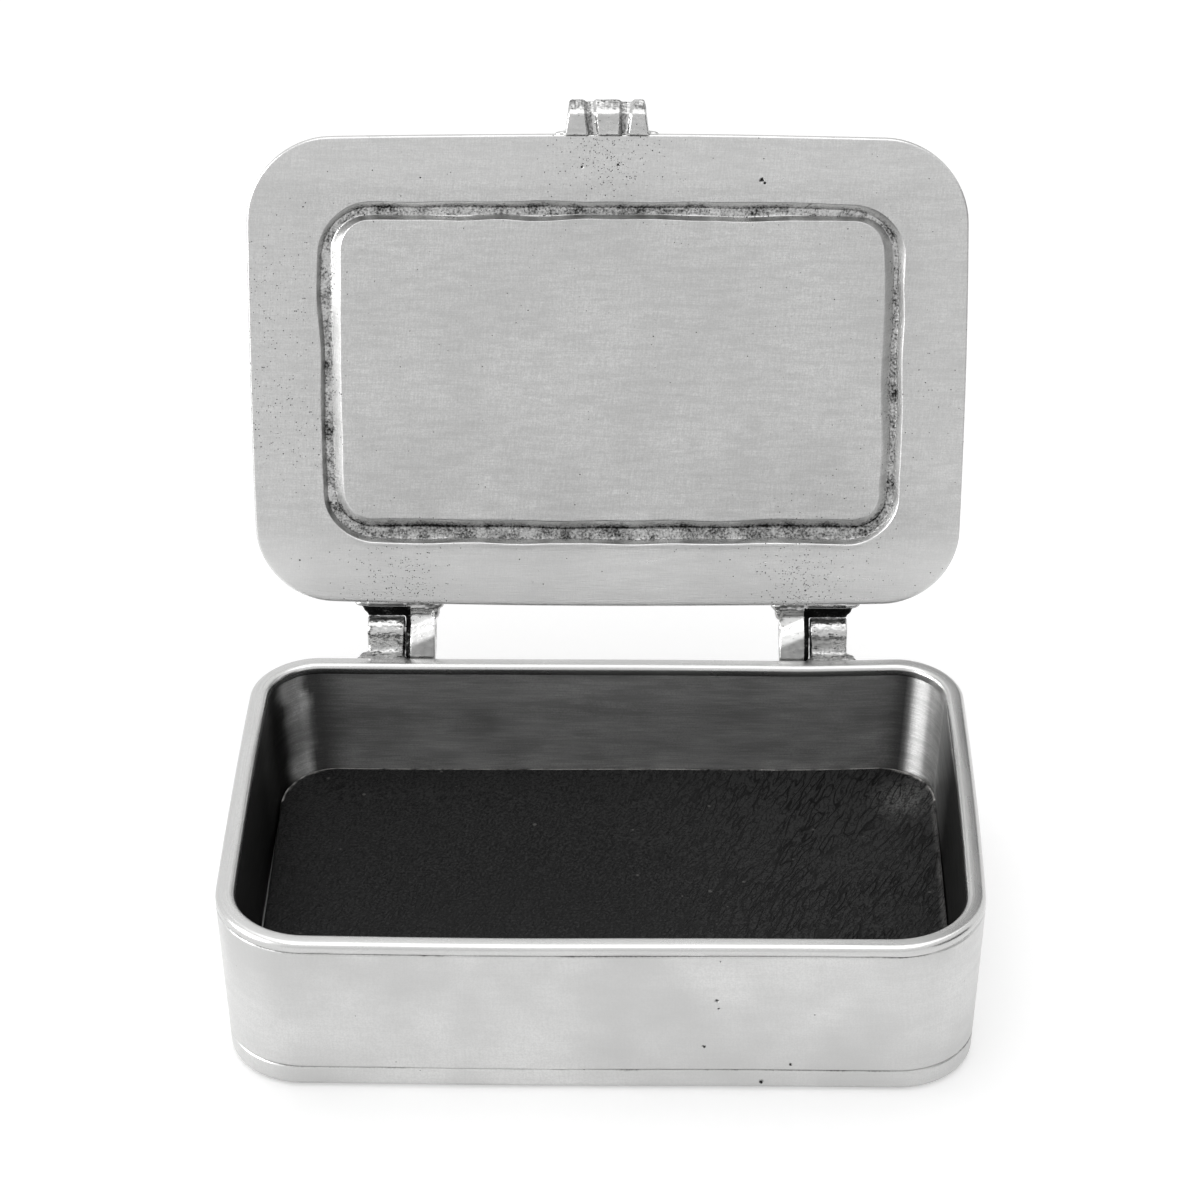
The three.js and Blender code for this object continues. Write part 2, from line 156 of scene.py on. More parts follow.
@dataclass(frozen=True)
class Plan:
    """A rectangle with round corners and bowed sides, seen from above, in millimetres."""

    width: float
    depth: float
    corner: float
    end_bow: float
    long_bow: float
    centre_y: float = 0.0
    centre_x: float = 0.0
    front_more: float = 0.0

    def inset(self, margin: float) -> "Plan":
        """The plan drawn in by a margin on every side."""
        return replace(
            self,
            width=self.width - 2 * margin,
            depth=self.depth - 2 * margin,
            corner=max(self.corner - margin, LEAST_CORNER),
        )

    def towards(self, other: "Plan", share: float) -> "Plan":
        """A plan between this one and another.

        Args:
            other: plan at a share of 1.
            share: from 0, this plan, to 1.

        Returns:
            The plan in between.
        """
        mixed = {
            item.name: (1 - share) * getattr(self, item.name) + share * getattr(other, item.name)
            for item in fields(self)
        }
        return Plan(**mixed)

    @property
    def half(self) -> Vector:
        """Half width and half depth without the bows."""
        return Vector((self.width / 2 - self.end_bow, self.depth / 2 - self.long_bow))

    def framed(self, left: float, right: float, front: float, back: float, corner: float) -> "Plan":
        """The plan drawn in by a margin of its own on each side.

        Args:
            left: margin at the left end.
            right: margin at the right end.
            front: margin at the front.
            back: margin at the back.
            corner: corner radius of the new plan.

        Returns:
            The new plan.
        """
        return replace(
            self,
            width=self.width - left - right,
            depth=self.depth - front - back,
            corner=corner,
            centre_x=self.centre_x + (left - right) / 2,
            centre_y=self.centre_y + (front - back) / 2,
        )

    def point(self, station: int, z: float) -> Vector:
        """A point of the outline.

        Args:
            station: number of the point, counted round from the middle of the right end.
            z: height of the point.

        Returns:
            The point.
        """
        quarter, step = divmod(station % STATIONS, QUARTER_STEPS)
        if quarter % 2:
            step = QUARTER_STEPS - step
        corner = self.corner + (self.front_more if quarter in (2, 3) else 0.0)
        flat = self._quarter_point(step, corner)
        half = self.half
        x = flat.x + self.end_bow * flat.x / half.x * (1 - (flat.y / half.y) ** 2)
        y = flat.y + self.long_bow * flat.y / half.y * (1 - (flat.x / half.x) ** 2)
        x_sign = -1 if quarter in (1, 2) else 1
        y_sign = -1 if quarter in (2, 3) else 1
        return Vector((x * x_sign + self.centre_x, y * y_sign + self.centre_y, z))

    def _quarter_point(self, step: int, corner: float) -> Vector:
        """A point of the straight-sided outline in a quarter with that corner radius."""
        half = self.half
        core = half - Vector((corner, corner))
        if step <= END_STEPS:
            return Vector((half.x, core.y * step / END_STEPS))
        step -= END_STEPS
        if step <= CORNER_STEPS:
            angle = math.pi / 2 * step / CORNER_STEPS
            return core + corner * Vector((math.cos(angle), math.sin(angle)))
        step -= CORNER_STEPS
        return Vector((core.x * (1 - step / LONG_STEPS), half.y))

    def outward(self, station: int) -> Vector:
        """Direction that leads out of the outline at a station."""
        before = self.point(station - 1, 0.0)
        after = self.point(station + 1, 0.0)
        along = after - before
        return Vector((along.y, -along.x, 0)).normalized()

    def runs(self) -> list[float]:
        """Length of the outline up to each station, and all round."""
        points = [self.point(station, 0.0) for station in range(STATIONS + 1)]
        lengths = [0.0]
        for before, after in zip(points, points[1:]):
            lengths.append(lengths[-1] + (after - before).length)
        return lengths


@dataclass(frozen=True)
class Section:
    """One outline of a loft."""

    plan: Plan
    z: float
    recess: float = 0.0
    wobble: float = 0.0
    seed: float = 0.0
    is_inside: bool = False
    is_seam: bool = False
    # Painted shade added at the front and at the back.
    front_painted_shade: float = 0.0
    back_painted_shade: float = 0.0

    def patchiness(self, point: Vector) -> float:
        """Share of the recess that is left at a point. A seam is filled here and open there."""
        if not self.is_seam:
            return 1.0
        patch = noise.noise(Vector((point.x / SEAM_PATCH, point.y / SEAM_PATCH, self.z)))
        value = patch + 0.5 * noise.noise(point / SEAM_FLECK)
        return max(0.3, min(1.0, 0.6 + 1.1 * value))

    def recess_and_shade_at(self, point: Vector) -> float:
        """Recess at a point, with the painted shade that the front and the back add."""
        along = (point.y - self.plan.centre_y) / (self.plan.depth / 2)
        front = ramp(-along, SIDE_FROM, SIDE_FULL)
        back = ramp(along, SIDE_FROM, SIDE_FULL)
        return max(0.0, self.recess + front * self.front_painted_shade + back * self.back_painted_shade)

    def point(self, station: int) -> Vector:
        """A point of the outline, moved a little sideways as a hand tool would."""
        point = self.plan.point(station, self.z)
        if self.wobble:
            place = point / WOBBLE_LENGTH + Vector((0, 0, self.seed))
            point += self.plan.outward(station) * noise.noise(place) * self.wobble
        return point


@dataclass(frozen=True)
class Loft:
    """A skin over outlines, each grown from the one before."""

    sections: Sequence[Section]
    ends: Ends

    def build(self, brushing: Brushing, finish: "HandFinish") -> BMesh:
        """Makes the closed mesh, with its recess values, painted shade and brushing map.

        Args:
            brushing: which way its brush marks run.
            finish: its slow unevenness.

        Returns:
            The mesh, in millimetres.
        """
        bm = bmesh.new()
        station = bm.verts.layers.int.new("station")
        row = bm.verts.layers.int.new("row")
        is_capped = self.ends is Ends.CAPPED
        circle = bmesh.ops.create_circle(bm, cap_ends=is_capped, segments=STATIONS, radius=1.0)
        for index, vert in enumerate(circle["verts"]):
            vert[station] = index
        ring = circle["verts"]
        for index, section in enumerate(self.sections):
            if index:
                ring = self._next_ring(bm, ring)
            for vert in ring:
                vert[row] = index
                vert.co = section.point(vert[station])
        edges = [edge for edge in bm.edges if edge.is_boundary]
        if is_capped:
            bmesh.ops.edgeloop_fill(bm, edges=edges)
        else:
            bmesh.ops.bridge_loops(bm, edges=edges)
        bmesh.ops.recalc_face_normals(bm, faces=bm.faces)
        self._mark(bm, brushing)
        finish.apply(bm)
        return bm

    @staticmethod
    def _next_ring(bm: BMesh, ring: Sequence[BMVert]) -> list[BMVert]:
        """Grows a new outline from the last one."""
        kept = set(ring)
        around = dict.fromkeys(edge for vert in ring for edge in vert.link_edges)
        edges = [edge for edge in around if kept.issuperset(edge.verts)]
        grown = bmesh.ops.extrude_edge_only(bm, edges=edges)
        return [item for item in grown["geom"] if isinstance(item, BMVert)]

    def _mark(self, bm: BMesh, brushing: Brushing) -> None:
        """Stores the recess values, the painted shade of the inner face and the brushing map, in
        millimetres.
        """
        station = bm.verts.layers.int.get("station")
        row = bm.verts.layers.int.get("row")
        recess = bm.verts.layers.float.new(RECESS)
        shade = bm.verts.layers.float.new(SHADE)
        uv = bm.loops.layers.uv.new(BRUSH_MAP)
        for vert in bm.verts:
            section = self.sections[vert[row]]
            vert[recess] = section.recess_and_shade_at(vert.co) * section.patchiness(vert.co)
            # Painted shade on the wall's inner face.
            vert[shade] = INNER_PAINTED_SHADE.shade(vert.co, section.plan) if section.is_inside else 0.0
        runs = max(self.sections, key=lambda section: section.plan.width).plan.runs()
        across = self._across()
        for face in bm.faces:
            face.material_index = int(all(self.sections[vert[row]].is_inside for vert in face.verts))
            stations = [vert[station] for vert in face.verts]
            rows = [vert[row] for vert in face.verts]
            wraps_round = max(stations) - min(stations) > STATIONS / 2
            wraps_over = max(rows) - min(rows) > 1
            for corner in face.loops:
                point = corner.vert.co
                if brushing is Brushing.ALONG or len(face.verts) > 4:
                    corner[uv].uv = (point.x + 0.3 * point.z, point.y + 0.5 * point.z)
                    continue
                number = corner.vert[station]
                over = corner.vert[row]
                run = runs[STATIONS] if wraps_round and number == 0 else runs[number]
                height = across[-1] if wraps_over and over == 0 else across[over]
                corner[uv].uv = (run, height)

    def _across(self) -> list[float]:
        """Length across the outlines up to each one, and back to the first."""
        lengths = [0.0]
        closed = [*self.sections, self.sections[0]]
        for before, after in zip(closed, closed[1:]):
            inward = (before.plan.depth - after.plan.depth) / 2
            lengths.append(lengths[-1] + math.hypot(inward, before.z - after.z))
        return lengths


@dataclass(frozen=True)
class InnerPaintedShade:
    """Painted shade on the tray's inside: black at the left end, thin in the back corners, with painted
    highlight streaks there.
    """

    back: float = 0.52
    back_ends: float = 0.86
    left_end: float = 0.9
    right_end: float = 0.5
    end_depth: float = 4.0
    front_y: float = 20.0
    rim_foot: float = 21.6
    waist_z: float = 12.0
    waist_reach: float = 7.0
    left_streak: tuple[float, float, float] = (42.3, 43.5, 46.4)
    right_streak: tuple[float, float] = (42.7, 43.3)

    def shade(self, point: Vector, plan: Plan) -> float:
        """Painted shade at a point of the wall's inner face.

        Args:
            point: where it is read, in millimetres.
            plan: outline of the inner face there.

        Returns:
            The painted shade, from 0, bare metal, to about 1.
        """
        half = plan.half
        corner_y = half.y - plan.corner
        is_back = ramp(point.y, corner_y, corner_y + 0.6)
        is_end = ramp(abs(point.x), half.x - self.end_depth, half.x - 1.0)
        blotch = noise.noise(Vector((point.x / 9, point.z / 3, 0.5))) + 0.6 * noise.noise(point / 3.1)
        back = self._back(point, blotch)
        value = back + (self._end(point) - back) * is_end
        waist = 1 - min(abs(point.z - self.waist_z) / self.waist_reach, 1.0)
        # Painted highlight streaks: the painted shade is thinned in the back left and back right corners.
        value += (0.02 + 0.3 * blotch + 0.25 * waist - value) * self._left_streak(point) * is_back
        right_streak = ramp(point.x, *self.right_streak) * is_back
        return value * (1 - right_streak * (1 - 0.4 * is_end))

    def _back(self, point: Vector, blotch: float) -> float:
        """Painted shade of the back wall, blotchy and thinner under the rim."""
        under_rim = ramp(point.z, 15.5, 18.0) * fall(point.z, self.rim_foot, 1.2)
        value = self.back + 0.12 * blotch - 0.2 * under_rim * (0.35 + blotch)
        value += 0.1 * ramp(point.z, 8.0, 16.0)
        by_end = max(ramp(-point.x, 37.0, 41.0), ramp(point.x, 39.5, 42.0))
        return value + (self.back_ends - value) * by_end

    def _end(self, point: Vector) -> float:
        """Painted shade of the end walls, thickest towards the front."""
        if point.x < 0:
            return self.left_end + 0.1 * fall(point.y, self.front_y, 8.0)
        return self.right_end + 0.48 * fall(point.y, self.front_y, 10.0)

    def _left_streak(self, point: Vector) -> float:
        """Mask of the wavy painted highlight streak in the back left corner."""
        wavy = 0.9 * noise.noise(Vector((0.3, point.z / 3.0, 1.1)))
        first, full, last = (bound + wavy for bound in self.left_streak)
        return ramp(-point.x, first, full) * fall(-point.x, last, 1.4)


INNER_PAINTED_SHADE = InnerPaintedShade()


def arc(
    plan: Plan, margin: float, z: float, radius: float, angles: tuple[float, float], steps: int
) -> list[Section]:
    """Sections of a round edge.

    Args:
        plan: outline that margins are measured from.
        margin: margin of the round's centre.
        z: height of the round's centre.
        radius: radius of the round.
        angles: first and last angle in degrees, where 0 points out and 90 up.
        steps: number of steps.

    Returns:
        The sections in order.
    """
    sections = []
    for step in range(steps + 1):
        angle = math.radians(angles[0] + (angles[1] - angles[0]) * step / steps)
        inward = margin - radius * math.cos(angle)
        sections.append(Section(plan.inset(inward), z + radius * math.sin(angle)))
    return sections


@dataclass(frozen=True)
class HandFinish:
    """Slow unevenness that hammering, soldering and buffing leave in a piece, and its draft."""

    length: float
    amount: float
    seed: float
    draft: float = 0.0
    draft_height: float = 23.0
    flare: float = 0.0
    flare_depth: float = 33.5
    full_x: float = 40.0
    pushed_back: float = 0.0
    push_from_y: float = 15.0
    push_x: tuple[float, float] = (28.0, 42.0)
    push_left: float = 0.35

    def apply(self, bm: BMesh) -> None:
        """Moves every point of a mesh a little."""
        for vert in bm.verts:
            place = vert.co / self.length + Vector((self.seed, 0, 0))
            low = 1 - vert.co.z / self.draft_height
            outward = max(-1.0, min(1.0, vert.co.x / self.full_x))
            drawn_in = self.draft * low * outward
            wider = self.flare * vert.co.y / self.flare_depth * outward
            vert.co += noise.noise_vector(place) * self.amount
            vert.co.x += wider - drawn_in
            corner = ramp(vert.co.x, *self.push_x) + self.push_left * ramp(-vert.co.x, *self.push_x)
            vert.co.y += self.pushed_back * ramp(vert.co.y, self.push_from_y, self.flare_depth) * corner


# Cast fittings


@dataclass(frozen=True)
class Casting:
    """Overlapping shapes melted into one skin with soft corners."""

    voxel: float = 0.13
    passes: int = 5
    roughness: float = 0.035
    grain: float = 0.7
    seed: float = 0.0
    cavity_passes: int = 24
    cavity_depth: float = 0.14

    def melt(self, shapes: BMesh, bore: BMesh | None = None) -> BMesh:
        """Joins the shapes and softens the skin.

        Args:
            shapes: closed shapes that overlap, in millimetres. It is used up.
            bore: shape cut out at the end, or None. It is used up.

        Returns:
            The skin.
        """
        lump = scratch_object(shapes)
        remesh = lump.modifiers.new("skin", "REMESH")
        remesh.mode = "VOXEL"
        remesh.voxel_size = self.voxel
        bm = taken_mesh(lump)
        self._smooth(bm, self.passes)
        bm.normal_update()
        moves = []
        for vert in bm.verts:
            place = vert.co / self.grain + Vector((self.seed, 0, 0))
            moves.append(vert.normal * noise.fractal(place, 0.9, 2.0, 3) * self.roughness)
        for vert, move in zip(bm.verts, moves):
            vert.co += move
        if bore is not None:
            bm = self._bored(bm, bore)
        self._mark_cavities(bm)
        return bm

    @staticmethod
    def _smooth(bm: BMesh, passes: int) -> None:
        """Smooths a skin a number of times."""
        for _ in range(passes):
            bmesh.ops.smooth_vert(
                bm, verts=bm.verts, factor=0.5, use_axis_x=True, use_axis_y=True, use_axis_z=True
            )

    def _mark_cavities(self, bm: BMesh) -> None:
        """Stores how deep each point lies in a hollow, by how far a smoother skin would lie above it."""
        layer = bm.verts.layers.float.new(RECESS)
        drawn = [vert.co.copy() for vert in bm.verts]
        self._smooth(bm, self.cavity_passes)
        for vert, point in zip(bm.verts, drawn):
            depth = (vert.co - point).dot(vert.normal)
            vert[layer] = min(max(depth / self.cavity_depth, 0.0), 1.0)
            vert.co = point
        bm.normal_update()

    @staticmethod
    def _bored(bm: BMesh, bore: BMesh) -> BMesh:
        """The skin with a bore cut through it."""
        lump = scratch_object(bm)
        drill = scratch_object(bore)
        cut = lump.modifiers.new("bore", "BOOLEAN")
        cut.operation = "DIFFERENCE"
        cut.solver = "EXACT"
        cut.object = drill
        bored = taken_mesh(lump)
        drop_object(drill)
        return bored


def stain(point: Vector, amount: float, seed: float) -> float:
    """Dark blotches and sideways scratches of an unpolished casting, from 0 to 1.

    Args:
        point: where it is read.
        amount: how much of the surface they take.
        seed: what sets one casting apart from the next.

    Returns:
        The recess value of the stain.
    """
    blotch = noise.fractal(point / STAIN_SIZE + Vector((seed, 0, 0)), 0.8, 2.0, 3)
    scratch = noise.noise(
        Vector((point.x / SCRATCH_LENGTH, point.y / SCRATCH_WIDTH, point.z / SCRATCH_WIDTH + seed))
    )
    return max(0.0, min(STAIN_LIMIT, amount * (0.35 + 0.8 * blotch + 0.7 * scratch)))


def freed_mesh(bm: BMesh, name: str) -> Mesh:
    """Turns a drawn mesh, which is freed, into mesh data.

    Args:
        bm: mesh that goes in.
        name: name of the data.

    Returns:
        The mesh data.
    """
    mesh = bpy.data.meshes.new(name)
    bm.to_mesh(mesh)
    bm.free()
    return mesh


def linked_object(name: str, data: ID) -> Object:
    """Adds an object to the scene.

    Args:
        name: its name.
        data: its mesh, lamp or camera.

    Returns:
        The object.
    """
    made = bpy.data.objects.new(name, data)
    bpy.context.scene.collection.objects.link(made)
    return made


def scratch_object(bm: BMesh) -> Object:
    """Puts a mesh, which is freed, in an object of its own for a while."""
    return linked_object("scratch", freed_mesh(bm, "scratch"))


def taken_mesh(made: Object) -> BMesh:
    """Takes the finished mesh out of a scratch object, which is removed.

    Args:
        made: object with its modifiers.

    Returns:
        The mesh with the modifiers applied.
    """
    graph = bpy.context.evaluated_depsgraph_get()
    bm = bmesh.new()
    bm.from_object(made, graph)
    drop_object(made)
    return bm


def drop_object(made: Object) -> None:
    """Removes a scratch object and its mesh."""
    mesh = made.data
    bpy.data.objects.remove(made)
    bpy.data.meshes.remove(mesh)


def prism(bm: BMesh, outline: Corners, from_x: float, to_x: float, edge_round: float) -> None:
    """Adds a side outline carried along X, with round edges.

    Args:
        bm: mesh that gets the shape.
        outline: corners as Y and Z.
        from_x: first end.
        to_x: last end.
        edge_round: width of the rounds, or 0.
    """
    old_faces = set(bm.faces)
    face = bm.faces.new([bm.verts.new((from_x, y, z)) for y, z in outline])
    grown = bmesh.ops.extrude_face_region(bm, geom=[face], use_keep_orig=True)
    moved = [item for item in grown["geom"] if isinstance(item, BMVert)]
    bmesh.ops.translate(bm, vec=(to_x - from_x, 0, 0), verts=moved)
    faces = [item for item in bm.faces if item not in old_faces]
    bmesh.ops.recalc_face_normals(bm, faces=faces)
    if edge_round:
        soften(bm, dict.fromkeys(vert for item in faces for vert in item.verts), edge_round)


def drawn_through(bm: BMesh, outlines: Sequence[Corners], from_x: float, to_x: float) -> None:
    """Adds a shape whose side outline changes along X.

    Args:
        bm: mesh that gets the shape.
        outlines: corners as Y and Z, the same number in each, evenly spaced along X.
        from_x: place of the first outline.
        to_x: place of the last outline.
    """
    step = (to_x - from_x) / (len(outlines) - 1)
    rings = [
        [bm.verts.new((from_x + step * number, y, z)) for y, z in outline]
        for number, outline in enumerate(outlines)
    ]
    faces = [bm.faces.new(rings[0]), bm.faces.new(rings[-1])]
    for ring, following in zip(rings, rings[1:]):
        for index in range(len(ring)):
            other = index - 1
            faces.append(bm.faces.new((ring[other], ring[index], following[index], following[other])))
    bmesh.ops.recalc_face_normals(bm, faces=faces)


def soften(bm: BMesh, points: Iterable[BMVert], edge_round: float) -> None:
    """Rounds all edges of a shape.

    Args:
        bm: mesh that holds the shape.
        points: the shape's points.
        edge_round: width of the rounds.
    """
    edges = dict.fromkeys(edge for vert in points for edge in vert.link_edges)
    bevel(bm, edges, edge_round, is_clamped=True)


def bevel(
    bm: BMesh, edges: Iterable[BMEdge], width: float, segments: int = 3, is_clamped: bool = False
) -> None:
    """Rounds edges off.

    Args:
        bm: mesh that holds them.
        edges: the edges.
        width: width of the round.
        segments: number of steps across it.
        is_clamped: whether rounds stop where they meet.
    """
    bmesh.ops.bevel(
        bm,
        geom=list(edges),
        offset=width,
        offset_type="OFFSET",
        affect="EDGES",
        segments=segments,
        profile=0.5,
        material=-1,
        clamp_overlap=is_clamped,
    )


def bar(bm: BMesh, centre: Vector, radius: float, length: float, segments: int = 48) -> None:
    """Adds a round bar along X.

    Args:
        bm: mesh that gets the bar.
        centre: middle of the bar.
        radius: its radius.
        length: its length.
        segments: number of sides.
    """
    turned = Matrix.Translation(centre) @ Matrix.Rotation(math.pi / 2, 4, "Y")
    bmesh.ops.create_cone(
        bm,
        cap_ends=True,
        segments=segments,
        radius1=radius,
        radius2=radius,
        depth=length,
        matrix=turned,
    )


def blob(bm: BMesh, centre: Sequence[float], size: Sequence[float]) -> None:
    """Adds a drop of solder as a flattened ball.

    Args:
        bm: mesh that gets the drop.
        centre: its middle.
        size: its half sizes.
    """
    place = Matrix.Translation(centre) @ Matrix.Diagonal(size).to_4x4()
    bmesh.ops.create_icosphere(bm, subdivisions=3, radius=1.0, matrix=place)


# Node helpers and shared effects


class Wiring:
    """Adds and links nodes in one node tree."""

    def __init__(self, tree: NodeTree) -> None:
        """Takes the tree that is worked on."""
        self.tree = tree

    def add(self, kind: str, **settings: object) -> Node:
        """Adds a node.

        Args:
            kind: the node's type.
            settings: properties set on it.

        Returns:
            The node.
        """
        node = self.tree.nodes.new(kind)
        for name, value in settings.items():
            setattr(node, name, value)
        return node

    def feed(self, socket: NodeSocket, value: object) -> None:
        """Links a socket to another one, or sets its value."""
        if isinstance(value, NodeSocket):
            self.tree.links.new(value, socket)
        else:
            socket.default_value = value

    def fill(self, node: Node, values: dict[str, object]) -> None:
        """Links or sets several inputs of a node by name."""
        for name, value in values.items():
            self.feed(node.inputs[name], value)

    def attribute(self, name: str) -> NodeSocket:
        """Value of a mesh attribute."""
        return self.add("ShaderNodeAttribute", attribute_name=name).outputs["Fac"]

    def flat_point(self, x: NodeSocket, y: NodeSocket) -> NodeSocket:
        """A vector from two coordinates."""
        node = self.add("ShaderNodeCombineXYZ")
        self.feed(node.inputs[0], x)
        self.feed(node.inputs[1], y)
        return node.outputs[0]

    def distance(self, place: NodeSocket, middle: object) -> NodeSocket:
        """Distance from a place to a middle."""
        node = self.add("ShaderNodeVectorMath", operation="DISTANCE")
        self.feed(node.inputs[0], place)
        self.feed(node.inputs[1], middle)
        return node.outputs["Value"]

    def times_plus(self, value: object, factor: object, rest: object, clamp: bool = False) -> NodeSocket:
        """A value times a factor, plus the rest.

        Args:
            value: socket or number.
            factor: socket or number.
            rest: socket or number.
            clamp: whether the result is kept between 0 and 1.

        Returns:
            The result.
        """
        result = self.math("MULTIPLY_ADD", value, factor, clamp)
        self.feed(result.node.inputs[2], rest)
        return result

    def math(self, operation: str, first: object, second: object = 0.0, clamp: bool = False) -> NodeSocket:
        """Adds a Math node.

        Args:
            operation: what it does.
            first: socket or number.
            second: socket or number.
            clamp: whether the result is kept between 0 and 1.

        Returns:
            The result.
        """
        node = self.add("ShaderNodeMath", operation=operation, use_clamp=clamp)
        self.feed(node.inputs[0], first)
        self.feed(node.inputs[1], second)
        return node.outputs[0]

    def span(
        self, value: NodeSocket, low: float, high: float, to_low: float = 0.0, to_high: float = 1.0
    ) -> NodeSocket:
        """Maps a range of values to another one, smoothly.

        Args:
            value: what is mapped.
            low: value that becomes to_low.
            high: value that becomes to_high.
            to_low: result at low.
            to_high: result at high.

        Returns:
            The result.
        """
        node = self.add("ShaderNodeMapRange", interpolation_type="SMOOTHSTEP")
        names = ("Value", "From Min", "From Max", "To Min", "To Max")
        self.fill(node, dict(zip(names, (value, low, high, to_low, to_high))))
        return node.outputs["Result"]

    def mix(self, share: object, first: object, second: object) -> NodeSocket:
        """Mixes two colours.

        Args:
            share: from 0, the first colour, to 1.
            first: socket or colour.
            second: socket or colour.

        Returns:
            The mixed colour.
        """
        node = self.add("ShaderNodeMix", data_type="RGBA", clamp_factor=True)
        self.feed(node.inputs["Factor"], share)
        ends = [item for item in node.inputs if item.type == "RGBA"]
        for socket, colour in zip(ends, (first, second)):
            self.feed(socket, colour)
        return next(item for item in node.outputs if item.type == "RGBA")

    def noise(self, place: NodeSocket, scale: float, detail: float, flat: bool = False) -> NodeSocket:
        """Adds a Noise Texture.

        Args:
            place: where it is read.
            scale: its scale.
            detail: its detail.
            flat: whether it is read in two dimensions.

        Returns:
            The noise, from 0 to 1.
        """
        node = self.add("ShaderNodeTexNoise", noise_dimensions="2D" if flat else "3D")
        self.fill(node, {"Vector": place, "Scale": scale, "Detail": detail})
        return node.outputs["Fac"]


class Effect:
    """A shader node group, built once and placed in materials."""

    name = ""
    inputs: tuple[tuple[str, str], ...] = ()
    outputs: tuple[str, ...] = ()

    @classmethod
    def tree(cls) -> NodeTree:
        """The node group, built the first time it is asked for."""
        made = bpy.data.node_groups.get(cls.name)
        if made is None:
            made = bpy.data.node_groups.new(cls.name, "ShaderNodeTree")
            for name, kind in cls.inputs:
                made.interface.new_socket(name=name, in_out="INPUT", socket_type=f"NodeSocket{kind}")
            for name in cls.outputs:
                made.interface.new_socket(name=name, in_out="OUTPUT", socket_type="NodeSocketFloat")
            wiring = Wiring(made)
            cls.wire(wiring, wiring.add("NodeGroupInput").outputs, wiring.add("NodeGroupOutput").inputs)
        return made

    @classmethod
    def wire(cls, wiring: Wiring, given: object, result: object) -> None:
        """Fills the group. Each effect has its own."""
        raise NotImplementedError

    @classmethod
    def place(cls, wiring: Wiring, **values: object) -> Node:
        """Places the group in a material.

        Args:
            wiring: the material's nodes.
            values: what its inputs are fed with, named in lower case.

        Returns:
            The group's node.
        """
        node = wiring.add("ShaderNodeGroup", node_tree=cls.tree())
        for name, value in values.items():
            wiring.feed(node.inputs[name.capitalize()], value)
        return node


class BrushMarks(Effect):
    """Fine strokes of abrasive along the brushing map."""

    name = "brush_marks"
    inputs = (("Run", "Vector"), ("Stroke", "Float"), ("Width", "Float"), ("Angle", "Float"))
    outputs = ("Height", "Tone")
    broad_run = 0.45
    broad_width = 0.16

    @classmethod
    def wire(cls, wiring: Wiring, given: object, result: object) -> None:
        """Stretches noise along the strokes, once fine and once broad."""
        turn = wiring.add("ShaderNodeVectorRotate", rotation_type="Z_AXIS")
        wiring.fill(turn, {"Vector": given["Run"], "Angle": given["Angle"]})
        split = wiring.add("ShaderNodeSeparateXYZ")
        wiring.feed(split.inputs[0], turn.outputs[0])
        along = wiring.math("DIVIDE", split.outputs[0], given["Stroke"])
        across = wiring.math("DIVIDE", split.outputs[1], given["Width"])
        fine = wiring.flat_point(along, across)
        wiring.feed(result["Height"], wiring.noise(fine, 1.0, 1.0, flat=True))
        broad = wiring.flat_point(
            wiring.math("MULTIPLY", along, cls.broad_run), wiring.math("MULTIPLY", across, cls.broad_width)
        )
        wiring.feed(result["Tone"], wiring.noise(broad, 1.0, 1.0, flat=True))


class Pits(Effect):
    """Casting pits, as a mask."""

    name = "casting_pits"
    inputs = (("Place", "Vector"), ("Amount", "Float"), ("Scale", "Float"))
    outputs = ("Mask",)
    least_size = 0.12
    size_range = 0.35
    slope = 0.2

    @classmethod
    def wire(cls, wiring: Wiring, given: object, result: object) -> None:
        """Keeps some of the cells, each with a pit of its own size."""
        cells = wiring.add("ShaderNodeTexVoronoi", feature="F1")
        wiring.fill(cells, {"Vector": given["Place"], "Scale": given["Scale"]})
        split = wiring.add("ShaderNodeSeparateColor")
        wiring.feed(split.inputs[0], cells.outputs["Color"])
        kept = wiring.math("LESS_THAN", split.outputs[0], given["Amount"])
        radius = wiring.times_plus(split.outputs[1], cls.size_range, cls.least_size)
        depth = wiring.math("SUBTRACT", radius, cells.outputs["Distance"])
        body = wiring.math("DIVIDE", depth, cls.slope, clamp=True)
        wiring.feed(result["Mask"], wiring.math("MULTIPLY", kept, body))


class Flaw(Effect):
    """One pit or dent at a place of its own, as a mask."""

    name = "single_flaw"
    inputs = (("Place", "Vector"), ("Middle", "Vector"), ("Radius", "Float"))
    outputs = ("Mask",)
    border_scale = 3800.0
    raggedness = 1.6

    @classmethod
    def wire(cls, wiring: Wiring, given: object, result: object) -> None:
        """Distance to the middle, with a ragged border."""
        apart = wiring.distance(given["Place"], given["Middle"])
        share = wiring.math("DIVIDE", apart, given["Radius"])
        rough = wiring.noise(given["Place"], cls.border_scale, 2.0)
        ragged = wiring.times_plus(rough, cls.raggedness, share)
        wiring.feed(result["Mask"], wiring.span(ragged, 1.2, 1.8, 1.0, 0.0))


